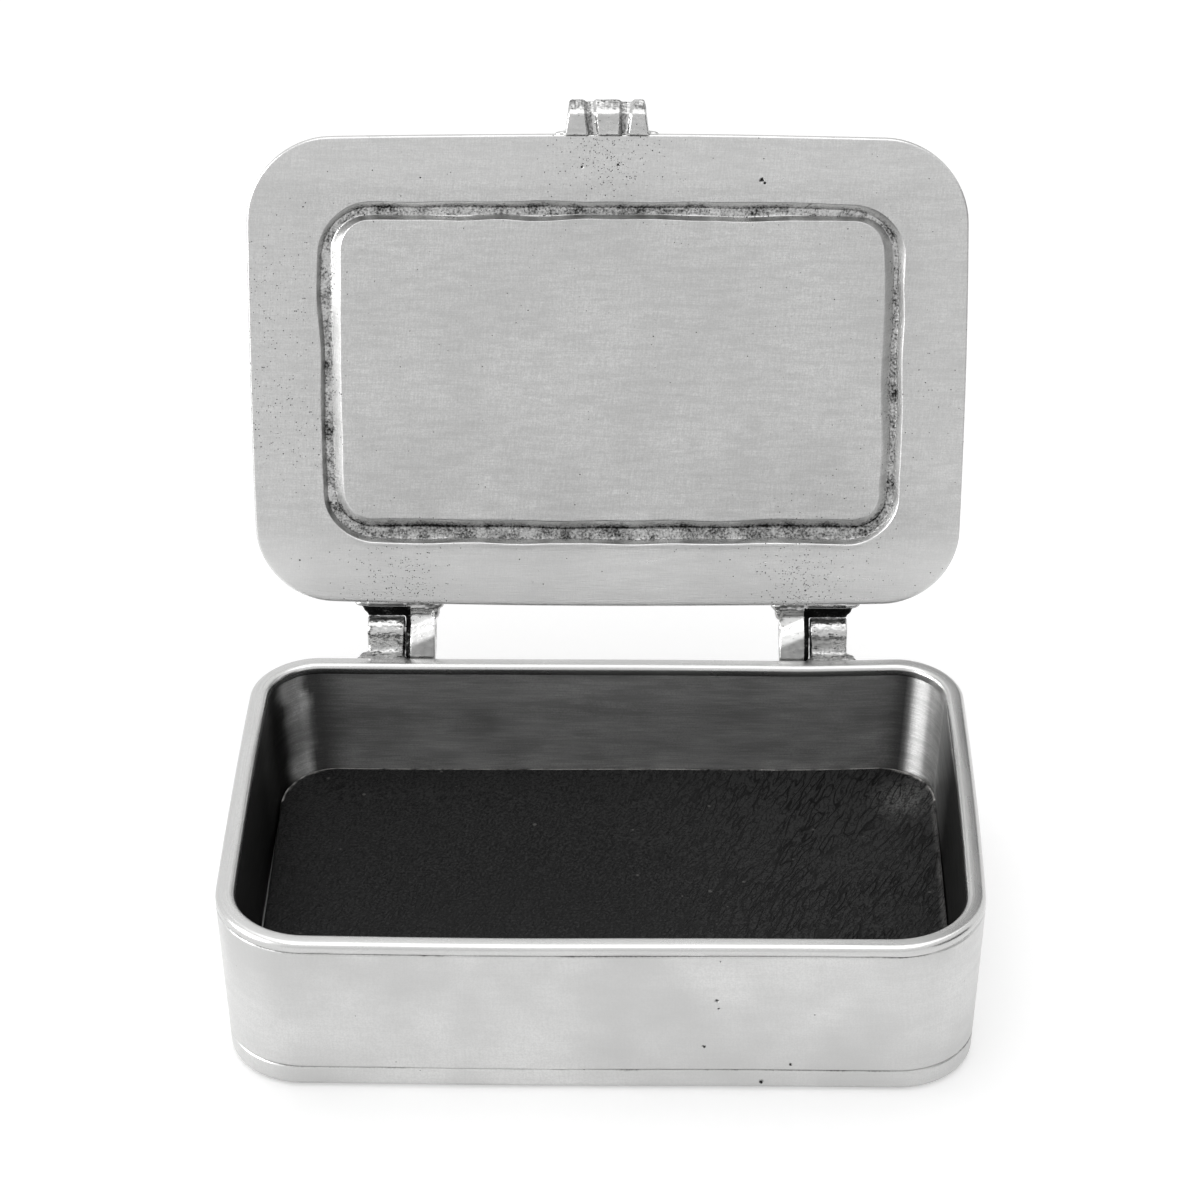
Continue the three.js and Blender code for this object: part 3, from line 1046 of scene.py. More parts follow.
class Tarnish(Effect):
    """Dark oxide that stays in seams and hollows, and the painted shade that the same recess value carries,
    as a mask.
    """

    name = "tarnish"
    inputs = (("Place", "Vector"), ("Recess", "Float"), ("Spread", "Float"))
    outputs = ("Mask", "Grain")
    patch_scale = 420.0
    patch_share = 0.45
    grain_scale = 3000.0
    onset = (0.28, 0.95)

    @classmethod
    def wire(cls, wiring: Wiring, given: object, result: object) -> None:
        """Breaks the recess value up with noise."""
        slow = wiring.noise(given["Place"], cls.patch_scale, 1.0)
        quick = wiring.noise(given["Place"], cls.grain_scale, 2.0)
        both = wiring.times_plus(slow, cls.patch_share, wiring.math("MULTIPLY", quick, 1 - cls.patch_share))
        uneven = wiring.math("MULTIPLY", wiring.math("SUBTRACT", both, 0.5), given["Spread"])
        total = wiring.math("ADD", given["Recess"], uneven)
        wiring.feed(result["Mask"], wiring.span(total, *cls.onset))
        wiring.feed(result["Grain"], quick)


class Clouds(Effect):
    """Slow change of sheen that a hand finish leaves."""

    name = "clouds"
    inputs = (("Place", "Vector"),)
    outputs = ("Value",)
    patch_scale = 70.0

    @classmethod
    def wire(cls, wiring: Wiring, given: object, result: object) -> None:
        """One soft noise."""
        value = wiring.noise(given["Place"], cls.patch_scale, 2.0)
        wiring.feed(result["Value"], wiring.span(value, 0.3, 0.7))


class HideGrain(Effect):
    """Grain, creases with painted shade in them, specks, painted sheen towards the back and the right, and a
    painted sheen on a corner of leather.
    """

    name = "hide_grain"
    inputs = (("Place", "Vector"),)
    outputs = ("Height", "Crease", "GrainAndSheen", "Speck", "PaintedSheen")
    slant = -66.0
    long_stretch = (160.0, 720.0, 1.0)
    short_stretch = (520.0, 1400.0, 1.0)
    patch_scale = 130.0
    grain_scale = 2900.0
    back_sheen = 0.17
    right_wear = 0.16
    shine_middle = (0.0425, 0.0235, 0.0055)
    painted_sheen_reach = 0.0065

    @classmethod
    def wire(cls, wiring: Wiring, given: object, result: object) -> None:
        """Fine grain, and long slanted creases that grow denser to the right."""
        place = given["Place"]
        split = wiring.add("ShaderNodeSeparateXYZ")
        wiring.feed(split.inputs[0], place)
        right = wiring.span(split.outputs[0], -0.005, 0.03)
        back = wiring.span(split.outputs[1], -0.005, 0.028)
        turned = wiring.add("ShaderNodeVectorRotate", rotation_type="Z_AXIS")
        wiring.fill(turned, {"Vector": place, "Angle": math.radians(cls.slant)})
        long_folds = cls._folds(wiring, turned.outputs[0], cls.long_stretch)
        short_folds = cls._folds(wiring, turned.outputs[0], cls.short_stretch)
        patchy = wiring.span(wiring.noise(place, cls.patch_scale, 2.0), 0.25, 0.5)
        reach = wiring.times_plus(right, 0.6, 0.4)
        long_folds = wiring.math("MULTIPLY", wiring.math("MULTIPLY", long_folds, reach), patchy)
        # Creases, which the leather's colour darkens as painted shade.
        crease = wiring.math("MAXIMUM", long_folds, wiring.math("MULTIPLY", short_folds, 0.7))
        kept = wiring.math("MULTIPLY", crease, wiring.times_plus(right, 0.35, 0.65))
        grain = wiring.noise(place, cls.grain_scale, 1.0)
        wiring.feed(result["Height"], wiring.math("SUBTRACT", grain, kept))
        wiring.feed(result["Crease"], kept)
        # Painted sheen: paler towards the back and the right, where the leather lifts.
        lit = wiring.times_plus(back, cls.back_sheen, grain)
        wiring.feed(result["GrainAndSheen"], wiring.times_plus(right, cls.right_wear, lit))
        specks = Pits.place(wiring, place=place, amount=0.012, scale=1300.0)
        wiring.feed(result["Speck"], specks.outputs["Mask"])
        # Painted sheen on the back right corner.
        near = wiring.span(wiring.distance(place, cls.shine_middle), 0.0, cls.painted_sheen_reach, 1.0, 0.0)
        wiring.feed(result["PaintedSheen"], wiring.math("MULTIPLY", near, wiring.span(grain, 0.2, 0.65)))

    @staticmethod
    def _folds(wiring: Wiring, place: NodeSocket, stretch: tuple[float, float, float]) -> NodeSocket:
        """Thin winding lines, drawn out along the first axis."""
        drawn = wiring.add("ShaderNodeVectorMath", operation="MULTIPLY")
        wiring.feed(drawn.inputs[0], place)
        wiring.feed(drawn.inputs[1], stretch)
        level = wiring.math("SUBTRACT", wiring.noise(drawn.outputs[0], 1.0, 1.0), 0.5)
        return wiring.span(wiring.math("ABSOLUTE", level), 0.008, 0.042, 1.0, 0.0)


# Finishes


@dataclass(frozen=True)
class Hinge:
    """Line that the lid turns on, in millimetres, and how far it stands open."""

    y: float = 37.6
    z: float = 24.8
    open_angle: float = 105.5

    @property
    def opened(self) -> Matrix:
        """The move from the closed place to the open one."""
        to_line = Matrix.Translation((0, self.y, self.z))
        turn = Matrix.Rotation(-math.radians(self.open_angle), 4, "X")
        return to_line @ turn @ to_line.inverted()


HINGE = Hinge()
# Colour of the painted highlight.
PAINTED_HIGHLIGHT_COLOUR: Colour = (0.8, 0.8, 0.795)


def new_material(name: str) -> tuple[Material, Wiring, Node]:
    """Makes a material with an empty shader.

    Args:
        name: its name.

    Returns:
        The material, its wiring and its Principled BSDF.
    """
    material = bpy.data.materials.new(name)
    material.use_nodes = True
    return material, Wiring(material.node_tree), material.node_tree.nodes["Principled BSDF"]


@dataclass(frozen=True)
class PewterFinish:
    """Brushed or cast pewter."""

    name: str
    colour: Colour
    roughness: float
    anisotropy: float = 0.0
    stroke: float = 9.0
    stroke_width: float = 0.16
    stroke_angle: float = 0.0
    mark_height: float = 2.5e-6
    cross_angle: float = 90.0
    cross_height: float = 0.0
    grain_height: float = 0.0
    streak: float = 0.6
    contrast: float = 0.1
    cross_streak: float = 0.0
    speckle: float = 0.0
    speckle_scale: float = 4200.0
    cloud: float = 0.3
    # Strength of the painted highlight.
    painted_highlight: float = 0.0
    grain_scale: float = 5200.0
    pit_base: float = 0.0
    pit_scale: float = 3000.0
    pit_depth: float = 1.2e-4
    tarnish_spread: float = 0.5
    tarnish_grain: float = 7e-5
    # Colour of the oxide and of the painted shade.
    tarnish_and_shade_colour: Colour = (0.05, 0.05, 0.049)
    is_mapped: bool = True
    flaws: tuple[tuple[float, float, float, float], ...] = ()

    def material(self) -> Material:
        """Builds the material.

        Returns:
            The material.
        """
        material, wiring, shader = new_material(self.name)
        place = wiring.add("ShaderNodeTexCoord").outputs["Object"]
        marks = self._marks(wiring, place, self.stroke_angle)
        clouds = Clouds.place(wiring, place=place).outputs["Value"]
        recess = wiring.attribute(RECESS)
        oxide_and_shade = Tarnish.place(wiring, place=place, recess=recess, spread=self.tarnish_spread)
        amount = wiring.math("ADD", wiring.attribute(PITTING), self.pit_base)
        pits = Pits.place(wiring, place=place, amount=amount, scale=self.pit_scale).outputs["Mask"]
        for x, y, z, radius in self.flaws:
            flaw = Flaw.place(wiring, place=place, middle=(x * MM, y * MM, z * MM), radius=radius * MM)
            pits = wiring.math("MAXIMUM", pits, flaw.outputs["Mask"])
        # The shade attribute is painted shade; it darkens the colour along with the pits.
        pits_and_shade = wiring.math("MAXIMUM", pits, wiring.attribute(SHADE))
        dark = wiring.math("MAXIMUM", oxide_and_shade.outputs["Mask"], pits_and_shade)
        self._colour(wiring, shader, place, marks, clouds, dark)
        self._roughness(wiring, shader, marks, clouds, oxide_and_shade.outputs["Mask"])
        self._normal(wiring, shader, place, marks, oxide_and_shade, pits)
        shader.inputs["Metallic"].default_value = 1.0
        shader.inputs["Anisotropic"].default_value = self.anisotropy
        shader.inputs["Anisotropic Rotation"].default_value = 0.25
        if self.anisotropy:
            tangent = wiring.add("ShaderNodeTangent", direction_type="UV_MAP", uv_map=BRUSH_MAP)
            wiring.feed(shader.inputs["Tangent"], tangent.outputs[0])
        return material

    def _marks(self, wiring: Wiring, place: NodeSocket, angle: float) -> Node:
        """The brush marks, on the brushing map or, where there is none, on the piece's own place."""
        run = place
        scale = MM
        if self.is_mapped:
            run = wiring.add("ShaderNodeUVMap", uv_map=BRUSH_MAP).outputs[0]
            scale = 1.0
        return BrushMarks.place(
            wiring,
            run=run,
            stroke=self.stroke * scale,
            width=self.stroke_width * scale,
            angle=math.radians(angle),
        )

    def _colour(
        self,
        wiring: Wiring,
        shader: Node,
        place: NodeSocket,
        marks: Node,
        clouds: NodeSocket,
        dark: NodeSocket,
    ) -> None:
        """Feeds the base colour: bare metal, streaks, the painted highlight and what darkens it: oxide, pits
        and painted shade.
        """
        bright = (*self.colour, 1.0)
        dull = (*((1 - self.contrast) * part for part in self.colour), 1.0)
        streaks = wiring.math("MULTIPLY", wiring.span(marks.outputs["Tone"], 0.35, 0.75), self.streak)
        strokes = wiring.math("MULTIPLY", wiring.span(marks.outputs["Height"], 0.3, 0.7), self.streak)
        metal = wiring.mix(wiring.math("MULTIPLY", clouds, self.cloud), bright, dull)
        metal = wiring.mix(streaks, metal, dull)
        metal = wiring.mix(strokes, metal, dull)
        if self.cross_streak:
            crossed = wiring.span(self._marks(wiring, place, self.cross_angle).outputs["Height"], 0.3, 0.7)
            metal = wiring.mix(wiring.math("MULTIPLY", crossed, self.cross_streak), metal, dull)
        if self.speckle:
            specks = wiring.span(wiring.noise(place, self.speckle_scale, 1.0), 0.35, 0.7)
            metal = wiring.mix(wiring.math("MULTIPLY", specks, self.speckle), metal, dull)
        # Painted highlight: the colour is paled where the attribute says.
        if self.painted_highlight:
            painted_shine = wiring.math("MULTIPLY", wiring.attribute(PAINTED_HIGHLIGHT), self.painted_highlight)
            metal = wiring.mix(painted_shine, metal, (*PAINTED_HIGHLIGHT_COLOUR, 1.0))
        wiring.feed(shader.inputs["Base Color"], wiring.mix(dark, metal, (*self.tarnish_and_shade_colour, 1.0)))

    def _roughness(
        self, wiring: Wiring, shader: Node, marks: Node, clouds: NodeSocket, oxide_and_shade: NodeSocket
    ) -> None:
        """Feeds the roughness."""
        rough = wiring.times_plus(clouds, 0.06, self.roughness)
        streaked = wiring.times_plus(marks.outputs["Tone"], 0.08, rough)
        wiring.feed(shader.inputs["Roughness"], wiring.times_plus(oxide_and_shade, 0.25, streaked, clamp=True))

    def _normal(
        self, wiring: Wiring, shader: Node, place: NodeSocket, marks: Node, oxide_and_shade: Node, pits: NodeSocket
    ) -> None:
        """Feeds the normal: brush marks, the grain of the oxide and painted shade, and pits, in metres."""
        height = wiring.math("MULTIPLY", marks.outputs["Height"], self.mark_height)
        if self.cross_height:
            crossed = self._marks(wiring, place, self.cross_angle).outputs["Height"]
            height = wiring.times_plus(crossed, self.cross_height, height)
        if self.grain_height:
            height = wiring.times_plus(wiring.noise(place, self.grain_scale, 1.0), self.grain_height, height)
        grain = wiring.math("MULTIPLY", oxide_and_shade.outputs["Grain"], oxide_and_shade.outputs["Mask"])
        height = wiring.times_plus(grain, self.tarnish_grain, height)
        height = wiring.times_plus(pits, -self.pit_depth, height)
        bump = wiring.add("ShaderNodeBump")
        wiring.fill(bump, {"Distance": 1.0, "Strength": 1.0, "Height": height})
        wiring.feed(shader.inputs["Normal"], bump.outputs[0])


@dataclass(frozen=True)
class LeatherFinish:
    """Black grained leather."""

    name: str
    colour: Colour
    # Paler skin colour, for the grain's tone and the painted sheen towards the back and the right.
    tone_shift: Colour
    roughness: float
    specular: float = 0.16
    relief: float = 1.1e-4
    wear_range: tuple[float, float] = (0.41, 0.83)
    # Colour of the painted sheen on the back right corner.
    painted_shine: Colour = (0.11, 0.11, 0.108)
    # Colour of the creases, with their painted shade.
    crease: Colour = (0.0006, 0.0006, 0.0006)
    speck: Colour = (0.09, 0.088, 0.085)
    raw_edge: Colour = (0.5, 0.49, 0.475)

    def material(self) -> Material:
        """Builds the material.

        Returns:
            The material.
        """
        material, wiring, shader = new_material(self.name)
        place = wiring.add("ShaderNodeTexCoord").outputs["Object"]
        grain = HideGrain.place(wiring, place=place)
        # Paler skin from the grain's tone and the painted sheen towards the back and the right.
        grain_and_sheen = wiring.span(grain.outputs["GrainAndSheen"], *self.wear_range)
        skin = wiring.mix(grain_and_sheen, (*self.colour, 1.0), (*self.tone_shift, 1.0))
        # Painted sheen on the back right corner.
        skin = wiring.mix(grain.outputs["PaintedSheen"], skin, (*self.painted_shine, 1.0))
        # Painted shade in the creases.
        skin = wiring.mix(grain.outputs["Crease"], skin, (*self.crease, 1.0))
        skin = wiring.mix(grain.outputs["Speck"], skin, (*self.speck, 1.0))
        skin = wiring.mix(wiring.attribute(RECESS), skin, (*self.raw_edge, 1.0))
        rough = wiring.times_plus(grain.outputs["GrainAndSheen"], 0.15, self.roughness)
        bump = wiring.add("ShaderNodeBump")
        wiring.fill(bump, {"Distance": self.relief, "Height": grain.outputs["Height"]})
        wiring.fill(shader, {"Base Color": skin, "Roughness": rough, "Normal": bump.outputs[0]})
        shader.inputs["Specular IOR Level"].default_value = self.specular
        return material


WALL_FLAWS = (
    (15.04, -33.5, 14.68, 0.32),
    (15.3, -33.5, 13.4, 0.2),
    (13.47, -33.5, 7.17, 0.3),
    (24.6, -33.5, 4.3, 0.3),
    (20.9, -33.3, 1.4, 0.4),
    (15.4, -33.5, 20.9, 0.16),
    (-31.0, -33.5, 11.8, 0.12),
)
LID_UNDERSIDE = 23.2
LID_FLAWS = tuple(
    (*(HINGE.opened @ Vector((x, y, LID_UNDERSIDE))), radius)
    for x, y, radius in (
        (21.21, -27.6, 0.42),
        (21.6, -27.2, 0.26),
        (-3.43, -29.33, 0.22),
        (1.5, -29.62, 0.22),
        (-41.8, -23.7, 0.12),
        (-41.5, -24.3, 0.1),
        (-25.6, -27.8, 0.14),
        (-43.5, 26.8, 0.14),
    )
)
PEWTER: Colour = (0.66, 0.66, 0.655)
LID_FINISH = PewterFinish(
    "pewter_lid",
    (0.705, 0.705, 0.7),
    0.25,
    anisotropy=0.4,
    stroke=2.6,
    stroke_width=0.16,
    mark_height=1e-5,
    cross_angle=84.0,
    cross_height=6e-6,
    cross_streak=0.3,
    grain_height=6e-6,
    streak=0.3,
    contrast=0.38,
    speckle=0.45,
    painted_highlight=0.62,
    pit_base=0.006,
    pit_scale=4200.0,
    tarnish_spread=1.9,
    tarnish_and_shade_colour=(0.012, 0.012, 0.0115),
    flaws=LID_FLAWS,
)
TRAY_FINISH = PewterFinish(
    "pewter_tray",
    (0.7, 0.7, 0.695),
    0.27,
    anisotropy=0.4,
    stroke=3.0,
    stroke_width=0.2,
    mark_height=2e-6,
    cross_angle=88.0,
    cross_streak=0.15,
    grain_height=1.2e-6,
    streak=0.16,
    contrast=0.26,
    speckle=0.4,
    cloud=0.8,
    pit_base=0.0012,
    pit_scale=3600.0,
    tarnish_spread=0.9,
    tarnish_and_shade_colour=(0.02, 0.02, 0.0195),
    flaws=WALL_FLAWS,
)
# Inner face of the wall: pale metal that painted shade from the shade attribute darkens, except in painted
# highlight streaks.
INSIDE_FINISH = PewterFinish(
    "pewter_inside",
    (0.86, 0.86, 0.853),
    0.36,
    anisotropy=0.95,
    stroke=4.0,
    stroke_width=0.15,
    mark_height=6e-6,
    grain_height=1.2e-6,
    streak=0.58,
    contrast=0.5,
    speckle=0.5,
    tarnish_spread=0.9,
    tarnish_and_shade_colour=(0.008, 0.008, 0.008),
)
RIM_FINISH = PewterFinish(
    "pewter_rim",
    PEWTER,
    0.2,
    anisotropy=0.3,
    stroke=9.0,
    mark_height=1.5e-6,
    streak=0.3,
    contrast=0.2,
    speckle=0.3,
    tarnish_and_shade_colour=(0.03, 0.03, 0.03),
)
FITTING_FINISH = PewterFinish(
    "pewter_cast",
    PEWTER,
    0.2,
    stroke=2.0,
    mark_height=6e-6,
    grain_height=6e-6,
    contrast=0.3,
    speckle=0.4,
    painted_highlight=1.0,
    pit_base=0.06,
    pit_scale=4200.0,
    tarnish_spread=1.3,
    tarnish_and_shade_colour=(0.006, 0.006, 0.006),
    is_mapped=False,
)
WIRE_FINISH = PewterFinish("pin_wire", (0.42, 0.42, 0.42), 0.25, stroke=2.0, pit_base=0.02, is_mapped=False)
LEATHER_FINISH = LeatherFinish("black_leather", (0.003, 0.003, 0.0032), (0.029, 0.029, 0.029), 0.4)


# Placing pieces


def place_piece(
    bm: BMesh, name: str, body: Body, material: Material, nodes: Iterable[str]
) -> Object:
    """Turns a drawn piece into an object of the frame.

    Args:
        bm: the piece, in millimetres. It is freed.
        name: the piece's name.
        body: body that it moves with. A lid piece is drawn closed.
        material: its finish.
        nodes: nodes that it stands for.

    Returns:
        The object.
    """
    if body is Body.LID:
        bmesh.ops.transform(bm, matrix=HINGE.opened, verts=bm.verts)
    bmesh.ops.scale(bm, vec=(MM, MM, MM), verts=bm.verts)
    for face in bm.faces:
        face.smooth = True
    for edge in bm.edges:
        edge.smooth = edge.calc_face_angle(0.0) < SHARP_ANGLE
    mesh = freed_mesh(bm, name)
    mesh.materials.append(material)
    piece = linked_object(name, mesh)
    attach(piece, body.value)
    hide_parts(*nodes)
    LOG.info("%s: %d faces on %s", name, len(mesh.polygons), body.value)
    return piece


# Sub-assemblies


@dataclass(frozen=True)
class Tray:
    """Bottom plate, wall band, rim moulding and leather floor."""

    plan: Plan = Plan(100.0, 67.0, 9.3, 0.45, 0.3, front_more=2.7)
    foot_front_more: float = 0.4
    height: float = 23.0
    wall: float = 2.5
    wall_rows: int = 22
    plate: float = 3.2
    plate_round: float = 1.1
    rim: float = 1.4
    rim_round: float = 0.8
    rim_inner_round: float = 0.7
    seam: float = 0.3
    seam_reach: float = 0.6
    foot_oxide: float = 1.0
    rim_oxide: float = 0.8
    leather: float = 2.0
    leather_margin: float = 0.6
    leather_corner: float = 8.0
    leather_step: float = 0.45
    leather_round: float = 0.22
    leather_gap: float = 0.02
    finish: HandFinish = HandFinish(34.0, 0.16, 3.0, draft=1.0, flare=0.3, pushed_back=0.8)

    def build(self) -> None:
        """Makes and places all pieces."""
        sheet = TRAY_FINISH.material()
        self._place(self._plate(), "bottom_plate_sheet", Slot.SHEET, sheet, "bottom_plate")
        band = self._place(self._band(), "wall_band_sheet", Slot.SHEET, sheet, "wall_band")
        band.data.materials.append(INSIDE_FINISH.material())
        self._place(self._rim(), "rim_strip", Slot.CAST, RIM_FINISH.material(), "rim_moulding")
        self._floor()

    @staticmethod
    def _place(bm: BMesh, name: str, slot: Slot, material: Material, node: str) -> Object:
        """Places a piece of the tray."""
        return place_piece(bm, name, Body.TRAY, material, [node])

    def _plan_at(self, z: float) -> Plan:
        """Outline at a height: the front corners are tighter towards the foot."""
        widening = (self.plan.front_more - self.foot_front_more) * (z / self.height)
        return replace(self.plan, front_more=self.foot_front_more + widening)

    def _seam(self, z: float, direction: int, darkness: float) -> list[Section]:
        """Sections of a soldered seam, from the seam out to the face.

        Args:
            z: height of the seam.
            direction: 1 for the piece above it, -1 for the one below.
            darkness: how dark its oxide is, from 0 to 1.

        Returns:
            The sections.
        """
        depths = (
            (self.seam, 0.0, 1.0),
            (self.seam * 0.4, 0.06, 0.7),
            (0.02, 0.16, 0.45),
            (0.0, 0.34, 0.0),
        )
        return [
            Section(
                self._plan_at(z + direction * rise).inset(margin),
                z + direction * rise,
                recess * darkness,
                wobble=0.1 * (recess > 0.5),
                seed=z,
                is_seam=True,
            )
            for margin, rise, recess in depths
        ]

    def _plate(self) -> BMesh:
        """Bottom plate with a round lower edge."""
        foot = self.plate_round
        plan = self._plan_at(0.0)
        sections = [
            *(Section(plan.inset(foot + more), 0.0) for more in (30, 26, 22, 18, 14, 10, 6, 3)),
            Section(plan.inset(foot + 0.6), 0.0),
            *arc(plan, foot, foot, foot, (-90, 0), 10),
            *reversed(self._seam(self.plate, -1, self.foot_oxide)),
            Section(plan.inset(self.wall + 1.5), self.plate),
        ]
        return Loft(sections, Ends.CAPPED).build(Brushing.AROUND, self.finish)

    def _band(self) -> BMesh:
        """Wall band, open above and below."""
        head = self.height - self.rim
        low = self.plate + self.seam_reach
        rise = head - self.plate - 2 * self.seam_reach
        heights = [low + rise * row / self.wall_rows for row in range(self.wall_rows + 1)]
        sections = [
            *self._seam(self.plate, 1, self.foot_oxide),
            *(Section(self._plan_at(z), z) for z in heights),
            *reversed(self._seam(head, -1, self.rim_oxide)),
            *(self._inside(z) for z in (head, *reversed(heights))),
            replace(self._inside(self.plate), recess=0.6),
        ]
        return Loft(sections, Ends.RING).build(Brushing.AROUND, self.finish)

    def _inside(self, z: float) -> Section:
        """Section of the wall's inner face at a height."""
        return Section(self._plan_at(z).inset(self.wall), z, is_inside=True)

    def _rim(self) -> BMesh:
        """Rounded strip on the wall's top edge."""
        foot = self.height - self.rim
        centre = self.height - self.rim_round
        inner = self.rim_inner_round
        sections = [
            *self._seam(foot, 1, self.rim_oxide)[:3],
            *arc(self.plan, self.rim_round, centre, self.rim_round, (0, 90), 10),
            *arc(self.plan, self.wall - inner, self.height - inner, inner, (90, 180), 6),
            self._inside(foot),
        ]
        return Loft(sections, Ends.RING).build(Brushing.AROUND, self.finish)

    def _floor(self) -> None:
        """Leather floor: a cut sheet laid on the bottom plate."""
        cut = replace(self.plan.inset(self.wall + self.leather_margin), corner=self.leather_corner)
        bm = bmesh.new()
        recess = bm.verts.layers.float.new(RECESS)
        step = self.leather_step
        grid = bmesh.ops.create_grid(
            bm, x_segments=round(cut.width / step), y_segments=round(cut.depth / step), size=1.0
        )
        for vert in grid["verts"]:
            vert.co = self._cut_corner(vert.co, cut)
        grown = bmesh.ops.extrude_face_region(bm, geom=list(bm.faces), use_keep_orig=True)
        under = [item for item in grown["geom"] if isinstance(item, BMVert)]
        bmesh.ops.translate(bm, vec=(0, 0, self.plate + self.leather_gap), verts=under)
        for vert in set(bm.verts) - set(under):
            vert.co.z = self.plate + self.leather + self._lie(vert.co)
        bmesh.ops.recalc_face_normals(bm, faces=bm.faces)
        sharp = [edge for edge in bm.edges if edge.calc_face_angle(0) > 1.0]
        upper = [edge for edge in sharp if edge.verts[0].co.z > self.plate + 1]
        bevel(bm, upper, self.leather_round, segments=2)
        for vert in bm.verts:
            vert[recess] = self._rawness(vert.co, cut)
        self.finish.apply(bm)
        for vert in bm.verts:
            vert.co.x += 0.4 * ramp(vert.co.x, 30.0, 46.0)
            vert.co.y += 0.3 * ramp(vert.co.y, 20.0, 30.0)
        leather = LEATHER_FINISH.material()
        piece = self._place(bm, "leather_floor_sheet", Slot.LEATHER, leather, "leather_floor")

    @staticmethod
    def _cut_corner(point: Vector, cut: Plan) -> Vector:
        """A point of the square sheet moved to the cut outline, which has round corners."""
        x = point.x * cut.width / 2
        y = point.y * cut.depth / 2
        inner = Vector((cut.width / 2 - cut.corner, cut.depth / 2 - cut.corner))
        over = Vector((abs(x) - inner.x, abs(y) - inner.y))
        if over.x <= 0 or over.y <= 0:
            return Vector((x, y, 0))
        square = max(over.x, over.y)
        share = (square / over.length - 1) * (square / cut.corner) ** 2 + 1
        return Vector(
            (math.copysign(inner.x + over.x * share, x), math.copysign(inner.y + over.y * share, y), 0)
        )

    @staticmethod
    def _lie(point: Vector) -> float:
        """How far the leather lies over its flat top: slow waves, slanted folds, back and right edge up."""
        slow = noise.noise(Vector((point.x / 26, point.y / 20, 1.7))) * 0.16
        edge = ramp(point.x, 41.0, 46.9) ** 2.0 * 0.7
        back = ramp(point.y, 18.0, 30.0) ** 1.5 * (0.3 + 0.4 * ramp(point.x, -35.0, 35.0))
        along = (point.x * 0.41 + point.y * 0.91) / 6.0
        across = (point.y * 0.41 - point.x * 0.91) / 1.7
        folds = noise.noise(Vector((along, across, 4.2))) * 0.05 * (0.3 + 0.7 * ramp(point.x, -5.0, 30.0))
        return slow + edge + back + folds

    @staticmethod
    def _rawness(point: Vector, cut: Plan) -> float:
        """How much of the cut edge's pale flesh side shows at a point of the leather."""
        half = Vector((cut.width / 2 - cut.corner, cut.depth / 2 - cut.corner))
        over = Vector((abs(point.x) - half.x, abs(point.y) - half.y))
        outside = Vector((max(over.x, 0.0), max(over.y, 0.0))).length
        depth = cut.corner - outside - min(max(over.x, over.y), 0.0)
        frayed = ramp(noise.noise(point / 1.3) + 0.7 * noise.noise(point / 0.5), -0.7, 0.3)
        if point.y > cut.depth / 2 - cut.corner:
            return fall(depth, 0.42, 0.12) * frayed
        if point.x > 0:
            return 0.16 * fall(depth, 0.9, 0.3) * frayed
        return 0.0


